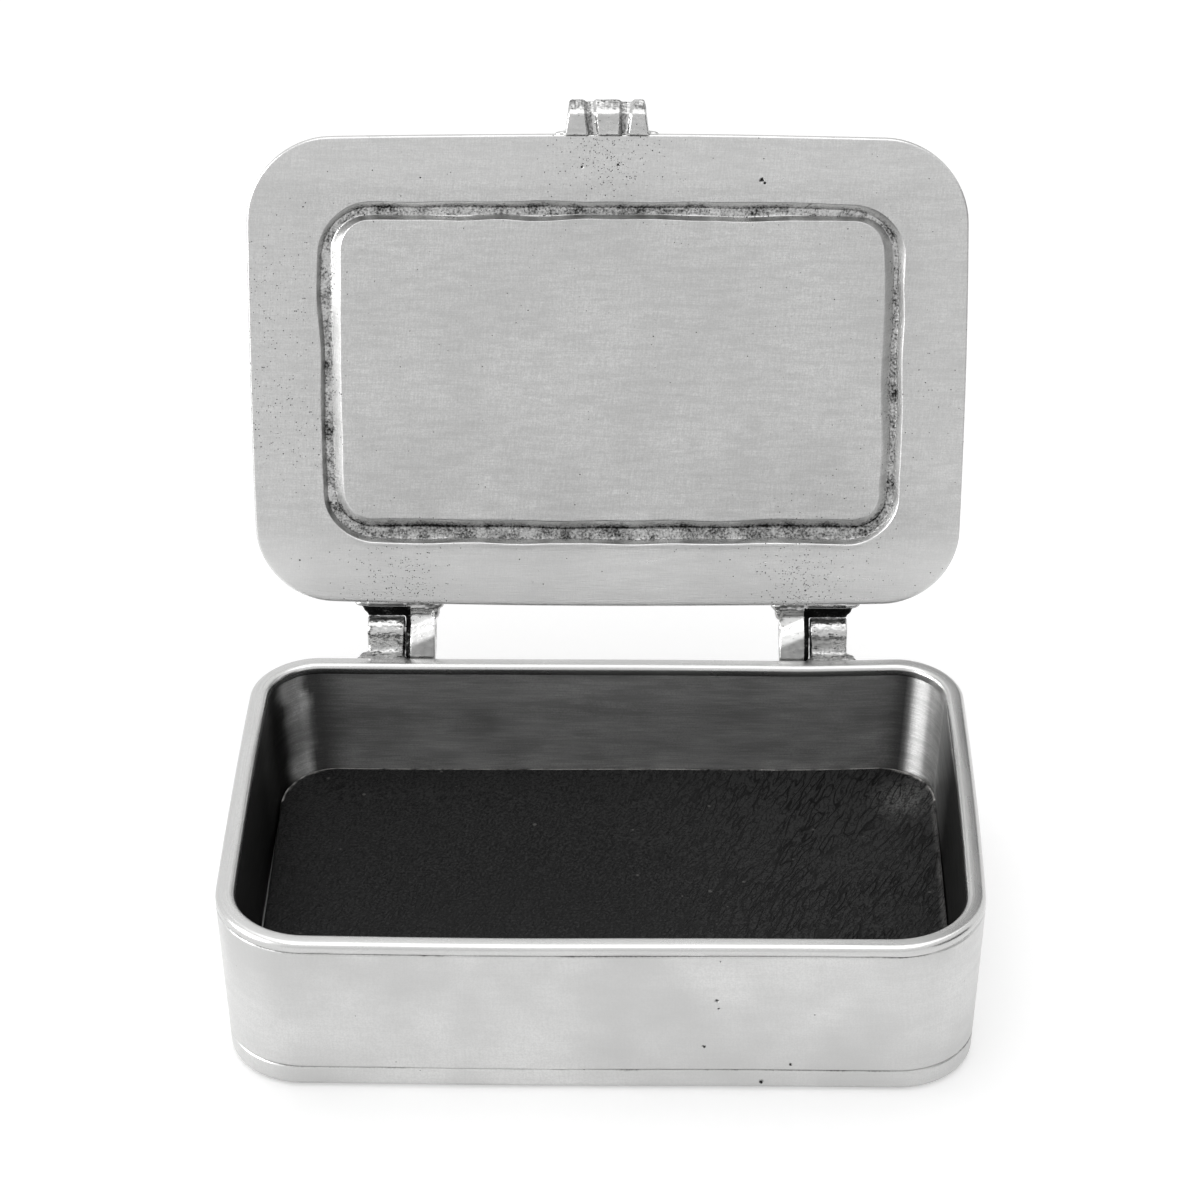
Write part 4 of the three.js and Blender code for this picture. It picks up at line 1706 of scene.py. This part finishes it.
@dataclass(frozen=True)
class TrayHinges:
    """Knuckles on the tray's back wall, and the pins in them."""

    inner_x: float = 24.5
    ear: float = 3.5
    gap: float = 0.9
    width: float = 5.2
    radius: float = 2.1
    leaf: float = 1.6
    drop: float = 6.5
    wall_y: float = 33.25
    rim_z: float = 23.0
    pin_radius: float = 0.85
    pin_recess: float = 0.2
    pin_sides: int = 40
    # Angle round the pin of the painted shade under the lid's leaf.
    leaf_shade_angle: float = 75.0

    @property
    def knuckle_x(self) -> float:
        """Inner end of the knuckle."""
        return self.inner_x + self.ear + self.gap

    def build(self) -> None:
        """Makes and places all pieces."""
        cast = FITTING_FINISH.material()
        wire = WIRE_FINISH.material()
        for side in Side:
            knuckle = mirrored(self._knuckle(side), side)
            node = f"tray_knuckle_{side.suffix}"
            place_piece(knuckle, f"{node}_cast", Body.TRAY, cast, [node])
            pin = mirrored(self._pin(), side)
            node = f"hinge_pin_{side.suffix}"
            place_piece(pin, f"{node}_wire", Body.TRAY, wire, [node])

    def _knuckle(self, side: Side) -> BMesh:
        """Barrel on the pin, bridged to a leaf on the back wall, with solder at its foot."""
        x0 = self.knuckle_x
        x1 = x0 + self.width
        middle = (x0 + x1) / 2
        bm = bmesh.new()
        bar(bm, Vector((middle, HINGE.y, HINGE.z)), self.radius, self.width)
        leaf_y = self.wall_y + self.leaf
        foot_z = self.rim_z - self.drop
        outline = [
            (self.wall_y - 0.35, foot_z),
            (self.wall_y + self.leaf * 0.6, foot_z),
            (leaf_y, foot_z + 0.9),
            (leaf_y + 0.25, foot_z + 3.0),
            (HINGE.y + 1.2, HINGE.z - 2.6),
            (HINGE.y + self.radius * 0.9, HINGE.z - 0.9),
            (HINGE.y, HINGE.z + 0.8),
            (HINGE.y - self.radius + 0.06, HINGE.z + 0.3),
            (HINGE.y - self.radius - 0.02, self.rim_z + 0.9),
            (HINGE.y - self.radius - 0.06, self.rim_z + 0.3),
            (HINGE.y - self.radius - 0.5, self.rim_z - 0.2),
            (self.wall_y - 0.35, self.rim_z - 0.35),
        ]
        prism(bm, outline, x0, x1, 0.25)
        low = self.rim_z - 0.75
        drops = (
            ((x1 + 0.1, self.wall_y + 0.3, low), (1.7, 1.0, 0.5)),
            ((x1 + 0.1, self.wall_y + 1.0, low + 0.1), (1.1, 1.2, 0.6)),
            ((x0 + 0.1, self.wall_y + 0.3, low), (0.8, 0.9, 0.45)),
            ((middle, self.wall_y, foot_z + 0.2), (2.9, 0.6, 0.9)),
        )
        for centre, size in drops:
            blob(bm, centre, size)
        cast = Casting(seed=11.0 * side.value, passes=6, roughness=0.06, grain=0.55).melt(bm)
        self._shade_and_stain(cast, side)
        return cast

    def _shade_and_stain(self, cast: BMesh, side: Side) -> None:
        """Paints shade on the knuckle's top under the lid's leaf, and darkens it at its foot and in stains.
        """
        recess = cast.verts.layers.float.get(RECESS)
        for vert in cast.verts:
            round_pin = math.degrees(math.atan2(vert.co.z - HINGE.z, vert.co.y - HINGE.y))
            # Painted shade on the top of the barrel, under the lid's leaf.
            shade_under_leaf = math.exp(-((round_pin - self.leaf_shade_angle) / 30) ** 2) * (vert.co.z > HINGE.z)
            foot = 0.5 * fall(vert.co.z, self.rim_z + 0.7, 0.5) * (vert.co.y < HINGE.y - 1.6)
            vert[recess] = max(vert[recess], 0.8 * shade_under_leaf, foot, stain(vert.co, 0.75, side.value))

    def _pin(self) -> BMesh:
        """Round wire with eased ends."""
        x0 = self.inner_x + self.pin_recess
        x1 = self.knuckle_x + self.width - self.pin_recess
        bm = bmesh.new()
        bar(bm, Vector(((x0 + x1) / 2, HINGE.y, HINGE.z)), self.pin_radius, x1 - x0, self.pin_sides)
        ends = [edge for edge in bm.edges if any(len(face.verts) > 4 for face in edge.link_faces)]
        bevel(bm, ends, self.pin_recess)
        return bm


def mirrored(bm: BMesh, side: Side) -> BMesh:
    """A right-hand piece, turned into its mirror image for the left.

    Args:
        bm: the right-hand piece.
        side: side that is wanted.

    Returns:
        The same mesh.
    """
    if side is Side.LEFT:
        bmesh.ops.scale(bm, vec=(-1, 1, 1), verts=bm.verts)
        bmesh.ops.reverse_faces(bm, faces=bm.faces)
    return bm


PANEL_MARGINS = (20.0, 18.0, 16.0, 14.0, 12.0, 10.0, 8.0, 6.0, 4.0, 2.4, 1.2)
TOP_MARGINS = (0, 1.5, 4, 7, 10, 13, 16, 18)
PIT_CLUSTERS = (
    ((-28.5, 32.0), 4.5, 0.6),
    ((27.0, 31.5), 4.5, 0.65),
    ((-30.0, 28.5), 7.0, 0.2),
    ((29.0, 27.5), 8.0, 0.25),
    ((0.0, -33.0), 5.0, 0.5),
    ((0.0, -29.5), 7.0, 0.14),
    ((-47.5, 6.0), 7.0, 0.3),
    ((-47.5, -12.0), 6.0, 0.25),
    ((45.0, 4.0), 7.0, 0.06),
)
TAB_LOBES = (
    ((-5.15, -3.0), (-5.75, -2.5)),
    ((-1.85, 1.9), (-1.25, 2.0)),
    ((3.45, 5.15), (2.8, 5.75)),
)
TAB_FLUTES = ((-2.42, -1.9), (2.68, 2.4))
EAR_SLANTS = (-0.6, -0.25, 0.1, 0.45, 0.8)


@dataclass(frozen=True)
class Lid:
    """Lid plate with a pressed groove, its thumb tab and its hinge leaves, drawn closed."""

    plan: Plan = Plan(99.8, 67.25, 10.4, 0.5, 0.8, -0.175, front_more=0.9)
    underside: float = LID_UNDERSIDE
    thickness: float = 1.8
    edge_round: float = 0.6
    low_round: float = 0.3
    groove_corner: float = 7.0
    groove_bow: float = 0.25
    groove_depth: float = 1.05
    groove_middle: float = 1.35
    bead_width: float = 4.2
    bead_height: float = 1.15
    bead_steps: int = 12
    floor_oxide: float = 0.56
    groove_pitting: float = 0.42
    tab_reach: float = 4.6
    tab_chin: float = 1.3
    tab_flute: float = 0.34
    heel_reach: float = 4.2
    heel_z: float = 21.9
    wobble: float = 0.32
    finish: HandFinish = HandFinish(30.0, 0.1, 9.0)

    @property
    def top(self) -> float:
        """Height of the closed lid's top face."""
        return self.underside + self.thickness

    @property
    def front(self) -> float:
        """The lid's front edge."""
        return self.plan.centre_y - self.plan.depth / 2

    @property
    def back(self) -> float:
        """Where the hinge leaves meet the lid's back edge."""
        return self.plan.centre_y + self.plan.depth / 2 - 0.35

    @property
    def leaf_end(self) -> float:
        """How far back the hinge leaves reach, clear of the knuckles."""
        return HINGE.y - TRAY_HINGES.radius - 0.27

    @property
    def outer_lip(self) -> Plan:
        """Outer lip of the groove."""
        return Plan(81.2, 48.75, self.groove_corner, self.groove_bow, self.groove_bow, -0.125, 0.5)

    @property
    def groove_lines(self) -> tuple[Plan, Plan, Plan, Plan]:
        """Outer lip, outer and inner border of the floor, and inner lip of the hand-pressed groove."""
        lip = self.outer_lip
        return (
            lip,
            lip.framed(left=0.5, right=0.9, front=0.95, back=0.55, corner=6.4),
            lip.framed(left=1.6, right=1.5, front=1.95, back=2.1, corner=5.1),
            lip.framed(left=3.04, right=2.8, front=2.5, back=3.35, corner=3.9),
        )

    def build(self) -> None:
        """Makes and places all pieces."""
        bm = self._plate()
        self._mark_pitting_and_highlight(bm)
        place_piece(bm, "lid_plate_sheet", Body.LID, LID_FINISH.material(), ["lid_plate"])
        cast = FITTING_FINISH.material()
        place_piece(self._tab(), "thumb_tab_cast", Body.LID, cast, ["thumb_tab"])
        for side in Side:
            node = f"lid_hinge_{side.suffix}"
            hinge = mirrored(self._hinge(side), side)
            place_piece(hinge, f"{node}_cast", Body.LID, cast, [node])

    def _groove(self) -> list[Section]:
        """Sections of the groove, from the panel out to the border."""
        lip, floor_out, floor_in, panel = self.groove_lines
        inner_wall = (
            (-0.3, 0.0, 0.0),
            (-0.08, 0.0, 0.0),
            (0.0, 0.02, 0.0),
            (0.05, 0.07, 0.0),
            (0.2, 0.24, 0.0),
            (0.5, 0.56, 0.12),
            (0.8, 0.86, 0.35),
            (0.94, 0.97, 0.6),
        )
        outer_wall = (
            (0.94, 0.97, 0.6),
            (0.8, 0.84, 0.5),
            (0.5, 0.52, 0.3),
            (0.15, 0.15, 0.1),
            (0.05, 0.05, 0.0),
            (0.0, 0.015, 0.0),
            (-0.08, -0.02, 0.0),
            (-0.2, -0.035, 0.0),
            (-0.6, 0.0, 0.0),
        )
        rows = []
        for share, depth, recess in inner_wall:
            rows.append((panel.towards(floor_in, share), depth, recess, GrooveRow.INNER))
        for share, depth in ((0.05, 1.0), (0.25, 1.02), (0.5, 0.98), (0.75, 1.01), (0.95, 1.0)):
            rows.append((floor_in.towards(floor_out, share), depth, self.floor_oxide, GrooveRow.FLOOR))
        for share, depth, recess in outer_wall:
            rows.append((lip.towards(floor_out, share), depth, recess, GrooveRow.OUTER))
        # Painted shade on the groove walls that face down when the lid is open, and a painted highlight on
        # the inner wall at the front.
        return [
            Section(
                plan,
                self.underside + depth * self.groove_depth,
                recess,
                wobble=self.wobble,
                seed=part.seed,
                front_painted_shade=part.front_painted_shade * (depth > 0.1),
                back_painted_shade=part.back_painted_shade * (depth > 0.1),
            )
            for plan, depth, recess, part in rows
        ]

    def _plate(self) -> BMesh:
        """Lid plate, from the panel's underside round the edge to the panel's top."""
        outer = self.outer_lip
        panel = self.groove_lines[-1]
        border_steps = 7
        border_from = outer.inset(-1.2)
        border_to = self.plan.inset(self.low_round + 0.4)
        low_z = self.underside + self.low_round
        high_z = self.top - self.edge_round
        toes = self.groove_middle + self.bead_width / 2 + 0.7
        top_steps = 4
        top_from = self.plan.inset(self.edge_round + 0.5)
        top_to = outer.inset(self.groove_middle - (self.bead_width / 2 + 0.7))
        sections = [
            *(Section(panel.inset(margin), self.underside) for margin in PANEL_MARGINS),
            *self._groove(),
            *(
                Section(border_from.towards(border_to, step / border_steps), self.underside)
                for step in range(border_steps + 1)
            ),
            *arc(self.plan, self.low_round, low_z, self.low_round, (-90, 0), 6),
            *arc(self.plan, self.edge_round, high_z, self.edge_round, (0, 90), 6),
            *(
                Section(top_from.towards(top_to, step / top_steps), self.top)
                for step in range(top_steps + 1)
            ),
            *self._bead(),
            *(Section(outer.inset(toes + more), self.top) for more in TOP_MARGINS),
        ]
        return Loft(sections, Ends.CAPPED).build(Brushing.ALONG, self.finish)

    def _bead(self) -> list[Section]:
        """Sections of the raised bead over the groove, from the outside in."""
        sections = []
        for step in range(self.bead_steps + 1):
            angle = math.pi * step / self.bead_steps
            margin = self.groove_middle - self.bead_width / 2 * math.cos(angle)
            rise = self.bead_height * math.sin(angle) ** 0.8
            sections.append(Section(self.outer_lip.inset(margin), self.top + rise))
        return sections

    def _mark_pitting_and_highlight(self, bm: BMesh) -> None:
        """Marks where the lid is pitted, and where its border gets a painted highlight."""
        layer = bm.verts.layers.float.new(PITTING)
        painted_highlight = bm.verts.layers.float.new(PAINTED_HIGHLIGHT)
        for vert in bm.verts:
            vert[layer] = sum(
                amount * math.exp(-(((vert.co.to_2d() - Vector(centre)).length / reach) ** 2))
                for centre, reach, amount in PIT_CLUSTERS
            )
            # Painted highlight on the underside's border at the back, the front and the ends.
            at_front = 0.3 * ramp(-vert.co.y, 26.0, 28.0)
            at_ends = 0.15 * ramp(abs(vert.co.x), 41.0, 44.0)
            is_under = vert.co.z < self.underside + 0.1
            vert[painted_highlight] = is_under * max(ramp(vert.co.y, 20.0, 28.0), at_front, at_ends)
            depth = (vert.co.z - self.underside) / self.groove_depth
            if 0.75 < depth < 1.15 and abs(vert.co.x) < 43 and abs(vert.co.y) < 26:
                vert[layer] = self.groove_pitting

    def _tab(self) -> BMesh:
        """Thumb tab: three lobes on a core, soldered to the lid's front edge."""
        front = self.front
        tip = front - self.tab_reach
        chin = tip + self.tab_chin
        low = self.underside - 0.5
        high = self.top + 0.8
        outline = [
            (front + 0.3, self.top),
            (front - 0.8, high - 0.15),
            (front - 1.7, high),
            (tip + 0.5, high),
            (tip, high - 0.5),
            (chin - 0.15, low + 0.5),
            (chin + 0.4, low),
            (front - 0.4, low - 0.02),
            (front + 0.15, low + 0.1),
            (front + 0.32, self.underside + 0.1),
        ]
        sunk = self.tab_flute
        core = [
            (front + 0.1, self.top),
            (front - 0.8, high - sunk - 0.1),
            (tip + sunk, high - sunk),
            (chin + sunk, low + sunk),
            (front + 0.1, self.underside + 0.1),
        ]
        bm = bmesh.new()
        prism(bm, core, -4.6, 4.6, 0.0)
        for at_tip, at_root in TAB_LOBES:
            old = set(bm.verts)
            prism(bm, outline, 0.0, 1.0, 0.0)
            lobe = [vert for vert in bm.verts if vert not in old]
            for vert in lobe:
                down = (vert.co.y - tip) / (front - tip)
                ends = [a + (b - a) * down for a, b in zip(at_tip, at_root)]
                vert.co.x = ends[0] + (ends[1] - ends[0]) * vert.co.x
            soften(bm, lobe, 0.75)
        for x in (-6.0, 6.0):
            blob(bm, (x, front + 0.05, self.underside + 0.8), (1.2, 0.45, 0.7))
        cast = Casting(voxel=0.1, passes=14, roughness=0.04, seed=4.0).melt(bm)
        self._tarnish_tab(cast, tip, chin)
        return cast

    def _tarnish_tab(self, cast: BMesh, tip: float, chin: float) -> None:
        """Paints shade on the tab's tip and on one side of each flute, and clears the other side.

        Args:
            cast: the tab.
            tip: how far forward it reaches.
            chin: where its lower edge turns up.
        """
        recess = cast.verts.layers.float.get(RECESS)
        for vert in cast.verts:
            down = ramp(vert.co.y, tip, self.front)
            # Painted shade on the tip, uneven.
            tip_noise = noise.noise(Vector((vert.co.x / 0.25, vert.co.y / 1.5, vert.co.z / 1.5)))
            tone_shift = 0.52 * fall(vert.co.y, chin + 0.3, 0.5) * (1 + 0.5 * tip_noise)
            vert[recess] = max(vert[recess], tone_shift)
            # Painted shade on one side of each flute; the other side's dark is thinned.
            for at_tip, at_root in TAB_FLUTES:
                aside = vert.co.x - at_tip - (at_root - at_tip) * down
                if abs(aside) < 0.95:
                    vert[recess] = max(vert[recess], 0.6) if aside < 0.1 else 0.35 * vert[recess]

    def _ear(self, scoop: float) -> list[tuple[float, float]]:
        """Side outline of a hinge ear, with its scoop moved that far along."""
        back = self.back
        heel_y = HINGE.y + self.heel_reach
        return [
            (back - 0.3, self.underside),
            (back + 0.4, self.underside + 0.1),
            (self.leaf_end - 0.3, self.underside + 0.75),
            (self.leaf_end + 0.7 + scoop, self.underside + 0.6),
            (HINGE.y - 0.6 + scoop, self.underside - 0.4 - 0.1 * scoop),
            (HINGE.y + 0.4 + scoop, self.underside - 0.85),
            (heel_y - 1.1, self.heel_z),
            (heel_y - 0.3, self.heel_z + 0.3),
            (heel_y, self.heel_z + 1.1),
            (heel_y - 0.6, HINGE.z + 1.4),
            (HINGE.y + 1.4, HINGE.z + 2.2),
            (HINGE.y - 0.6, HINGE.z + 2.3),
            (back + 1.0, self.top + 0.4),
            (back - 0.3, self.top),
        ]

    def _hinge(self, side: Side) -> BMesh:
        """Leaf along the lid's back edge, with an ear on the pin and a heel behind it."""
        back = self.back
        end_y = self.leaf_end
        x0 = TRAY_HINGES.inner_x
        ear_x = x0 + TRAY_HINGES.ear
        x1 = TRAY_HINGES.knuckle_x + TRAY_HINGES.width
        leaf = [
            (back - 0.3, self.underside + 0.05),
            (back + 0.35, self.underside + 0.08),
            (end_y - 0.1, self.underside + 0.85),
            (end_y + 0.05, self.underside + 1.1),
            (end_y + 0.15, self.top - 0.1),
            (back, self.top),
            (back - 0.3, self.top),
        ]
        slants = EAR_SLANTS if side is Side.LEFT else EAR_SLANTS[::-1]
        ears = [self._ear(scoop) for scoop in slants]
        # Boss that closes the gap between the ear and the knuckle; it is painted black as the gap's shade.
        gap_filler = [self._towards_pin(corner, 0.08) for corner in ears[-1][2:-1]]
        bm = bmesh.new()
        prism(bm, leaf, x0, x1, 0.2)
        drawn_through(bm, ears, x0, ear_x)
        prism(bm, gap_filler, ear_x - 0.5, ear_x + TRAY_HINGES.gap - 0.2, 0.1)
        middle = self.underside + 0.9
        drops = (
            ((x0 - 0.2, back + 0.3, middle), (1.1, 0.8, 0.85)),
            ((x0 - 0.1, back + 1.2, middle), (0.6, 1.3, 0.8)),
            ((x1 + 0.3, back + 0.15, middle), (1.6, 0.55, 0.8)),
            ((x1, back + 0.7, middle + 0.2), (0.7, 1.0, 0.7)),
        )
        for centre, size in drops:
            blob(bm, centre, size)
        for step in range(9):
            jitter = noise.noise_vector(Vector((step * 1.7, side.value * 3.1, 0.4)))
            spot = Vector((x0 + 0.2 + 0.42 * step, back + 0.75, self.underside + 0.38)) + jitter * 0.22
            blob(bm, spot, Vector((0.42, 0.4, 0.34)) + Vector((jitter.y, jitter.x, 0)) * 0.14)
        bore = bmesh.new()
        bar(bore, Vector((x0 + 1.0, HINGE.y, HINGE.z)), TRAY_HINGES.pin_radius + 0.1, 8.0)
        cast = Casting(seed=7.0 * side.value, passes=6).melt(bm, bore)
        self._tarnish_hinge(cast, side, slants)
        return cast

    def _tarnish_hinge(self, cast: BMesh, side: Side, slants: Sequence[float]) -> None:
        """Paints a highlight on the ear's scoop, paints shade on its pad, in the gap and under the leaf, and
        adds stains.

        Args:
            cast: the hinge, drawn for the right side.
            side: side that it is for.
            slants: how far the scoop is moved along the ear.
        """
        x0 = TRAY_HINGES.inner_x
        ear_x = x0 + TRAY_HINGES.ear
        recess = cast.verts.layers.float.get(RECESS)
        shade = cast.verts.layers.float.new(SHADE)
        painted_highlight = cast.verts.layers.float.new(PAINTED_HIGHLIGHT)
        for vert in cast.verts:
            x, y, z = vert.co
            slant = slants[0] + (slants[-1] - slants[0]) * ramp(x, x0, ear_x)
            pad_y = HINGE.y + slant
            pad = ramp(y, pad_y + 0.5, pad_y + 1.0) * (z < self.underside)
            is_scoop = x < ear_x and y > self.leaf_end and z < self.underside + 0.9
            # Painted shade on the ear's pad, and a painted highlight on its scoop.
            vert[shade] = 0.36 * pad * (1 + 0.5 * noise.noise(vert.co / 0.8))
            vert[painted_highlight] = is_scoop * (1 - pad)
            # Painted shade, near black, in the gap beside the ear and under the leaf.
            gap_shade = ramp(x, ear_x - 0.1, ear_x + 0.1) * (y > self.leaf_end + 0.3)
            shade_under_leaf = x > ear_x and y > self.back + 0.5 and z < self.underside + 1.3
            vert[recess] = max(vert[recess], gap_shade, 1.0 * shade_under_leaf, stain(vert.co, 0.45, side.value))

    @staticmethod
    def _towards_pin(corner: tuple[float, float], share: float) -> tuple[float, float]:
        """A corner of a side outline drawn in towards the pin."""
        return (corner[0] + (HINGE.y - corner[0]) * share, corner[1] + (HINGE.z - corner[1]) * share)


TRAY_HINGES = TrayHinges()


# Camera, light and floor


@dataclass(frozen=True)
class Viewpoint:
    """Camera at the viewing angle of the photograph."""

    azimuth: float = 1.2445
    elevation: float = 32.0945
    roll: float = -0.3829
    distance: float = 0.4742758
    focal_pixels: float = 3453.61
    target: tuple[float, float, float] = (-0.00071, 0.0238993, 0.0386357)
    sensor: float = 36.0

    def build(self) -> None:
        """Adds the camera and makes it the scene's."""
        azimuth = math.radians(self.azimuth)
        elevation = math.radians(self.elevation)
        roll = math.radians(self.roll)
        back = Vector(
            (
                math.sin(azimuth) * math.cos(elevation),
                -math.cos(azimuth) * math.cos(elevation),
                math.sin(elevation),
            )
        )
        level = Vector((math.cos(azimuth), math.sin(azimuth), 0))
        upright = back.cross(level)
        right = math.cos(roll) * level + math.sin(roll) * upright
        up = math.cos(roll) * upright - math.sin(roll) * level
        lens = bpy.data.cameras.new("viewpoint")
        lens.sensor_width = self.sensor
        lens.lens = self.sensor * self.focal_pixels / IMAGE_WIDTH
        lens.clip_start = 0.01
        lens.clip_end = 20.0
        camera = linked_object("viewpoint", lens)
        place = Matrix((right, up, back)).transposed().to_4x4()
        place.translation = Vector(self.target) + back * self.distance
        camera.matrix_world = place
        bpy.context.scene.camera = camera


@dataclass(frozen=True)
class Studio:
    """Pale floor, soft boxes, grey cards and a white surround."""

    floor_size: float = 3.0
    floor_albedo: float = 0.9
    floor_glow: float = 0.3
    surround: float = 0.55

    def build(self) -> None:
        """Adds the floor, the surround and the lamps."""
        bpy.context.scene.view_settings.view_transform = "Standard"
        self._floor()
        self._world()
        key = self._lamp("key_box", (-0.62, -0.2, 0.28), (0, 0.0, 0.04), (0.42, 0.36), 4.4)
        key.visible_diffuse = False
        self._lamp("top_box", (0.0, 0.1, 0.85), (0, 0.02, 0.03), (0.8, 1.1), 3.4)
        self._flag("right_flag", (0.6, -0.2, 0.16), (0, 0.0, 0.05), (0.5, 0.3), 0.12)
        self._flag("back_right_flag", (0.2, 0.5, 0.38), (0.05, 0.0, 0.02), (0.26, 0.34), 0.2)
        self._flag("front_flag", (0.05, -0.95, 0.3), (0, 0.0, 0.1), (1.3, 0.5), 0.88)

    @staticmethod
    def _seen(wiring: Wiring) -> NodeSocket:
        """1 for rays from the camera, from gloss and through glass."""
        path = wiring.add("ShaderNodeLightPath")
        both = wiring.math("MAXIMUM", path.outputs["Is Camera Ray"], path.outputs["Is Glossy Ray"])
        return wiring.math("MAXIMUM", both, path.outputs["Is Transmission Ray"])

    def _floor(self) -> None:
        """Adds the pale floor, which keeps the box's shadow."""
        bm = bmesh.new()
        bmesh.ops.create_grid(bm, x_segments=1, y_segments=1, size=self.floor_size)
        mesh = freed_mesh(bm, "floor")
        floor = linked_object("floor", mesh)
        material, wiring, shader = new_material("floor_white")
        look = {
            "Base Color": (self.floor_albedo,) * 3 + (1.0,),
            "Roughness": 0.9,
            "Specular IOR Level": 0.0,
            "Emission Color": (1, 1, 1, 1),
            "Emission Strength": wiring.math("MULTIPLY", self._seen(wiring), self.floor_glow),
        }
        wiring.fill(shader, look)
        mesh.materials.append(material)

    def _world(self) -> None:
        """Adds the surround, white where it is seen."""
        world = bpy.data.worlds.new("surround")
        bpy.context.scene.world = world
        world.use_nodes = True
        wiring = Wiring(world.node_tree)
        background = world.node_tree.nodes["Background"]
        background.inputs["Color"].default_value = (1, 1, 1, 1)
        strength = wiring.times_plus(self._seen(wiring), 1.0 - self.surround, self.surround)
        wiring.feed(background.inputs["Strength"], strength)

    @staticmethod
    def _flag(
        name: str, place: Sequence[float], aim: Sequence[float], size: tuple[float, float], tone: float
    ) -> None:
        """Adds a grey card that only the metal sees.

        Args:
            name: its name.
            place: where it stands.
            aim: what it faces.
            size: its width and height.
            tone: its grey.
        """
        bm = bmesh.new()
        bmesh.ops.create_grid(bm, x_segments=1, y_segments=1, size=0.5)
        bmesh.ops.scale(bm, vec=(*size, 1.0), verts=bm.verts)
        mesh = freed_mesh(bm, name)
        material, wiring, shader = new_material(name)
        look = {
            "Base Color": (0, 0, 0, 1),
            "Specular IOR Level": 0.0,
            "Emission Color": (1, 1, 1, 1),
            "Emission Strength": tone,
        }
        wiring.fill(shader, look)
        mesh.materials.append(material)
        card = linked_object(name, mesh)
        towards = Vector(aim) - Vector(place)
        card.matrix_world = Matrix.Translation(place) @ towards.to_track_quat("Z", "Y").to_matrix().to_4x4()
        card.visible_camera = False
        card.visible_shadow = False
        card.visible_diffuse = False

    @staticmethod
    def _lamp(
        name: str, place: Sequence[float], aim: Sequence[float], size: tuple[float, float], power: float
    ) -> Object:
        """Adds a soft box.

        Args:
            name: its name.
            place: where it stands.
            aim: what it points at.
            size: its width and height.
            power: its power in watts.

        Returns:
            The lamp.
        """
        light = bpy.data.lights.new(name, "AREA")
        light.shape = "RECTANGLE"
        light.size, light.size_y = size
        light.energy = power
        lamp = linked_object(name, light)
        towards = Vector(aim) - Vector(place)
        lamp.matrix_world = Matrix.Translation(place) @ towards.to_track_quat("-Z", "Y").to_matrix().to_4x4()
        return lamp


def main() -> None:
    """Builds the view, the studio and the box."""
    logging.basicConfig(level=logging.INFO, format="%(name)s: %(message)s")
    noise.seed_set(HAND_SEED)
    Viewpoint().build()
    Studio().build()
    Tray().build()
    TRAY_HINGES.build()
    Lid().build()


if __name__ == "__main__":
    main()
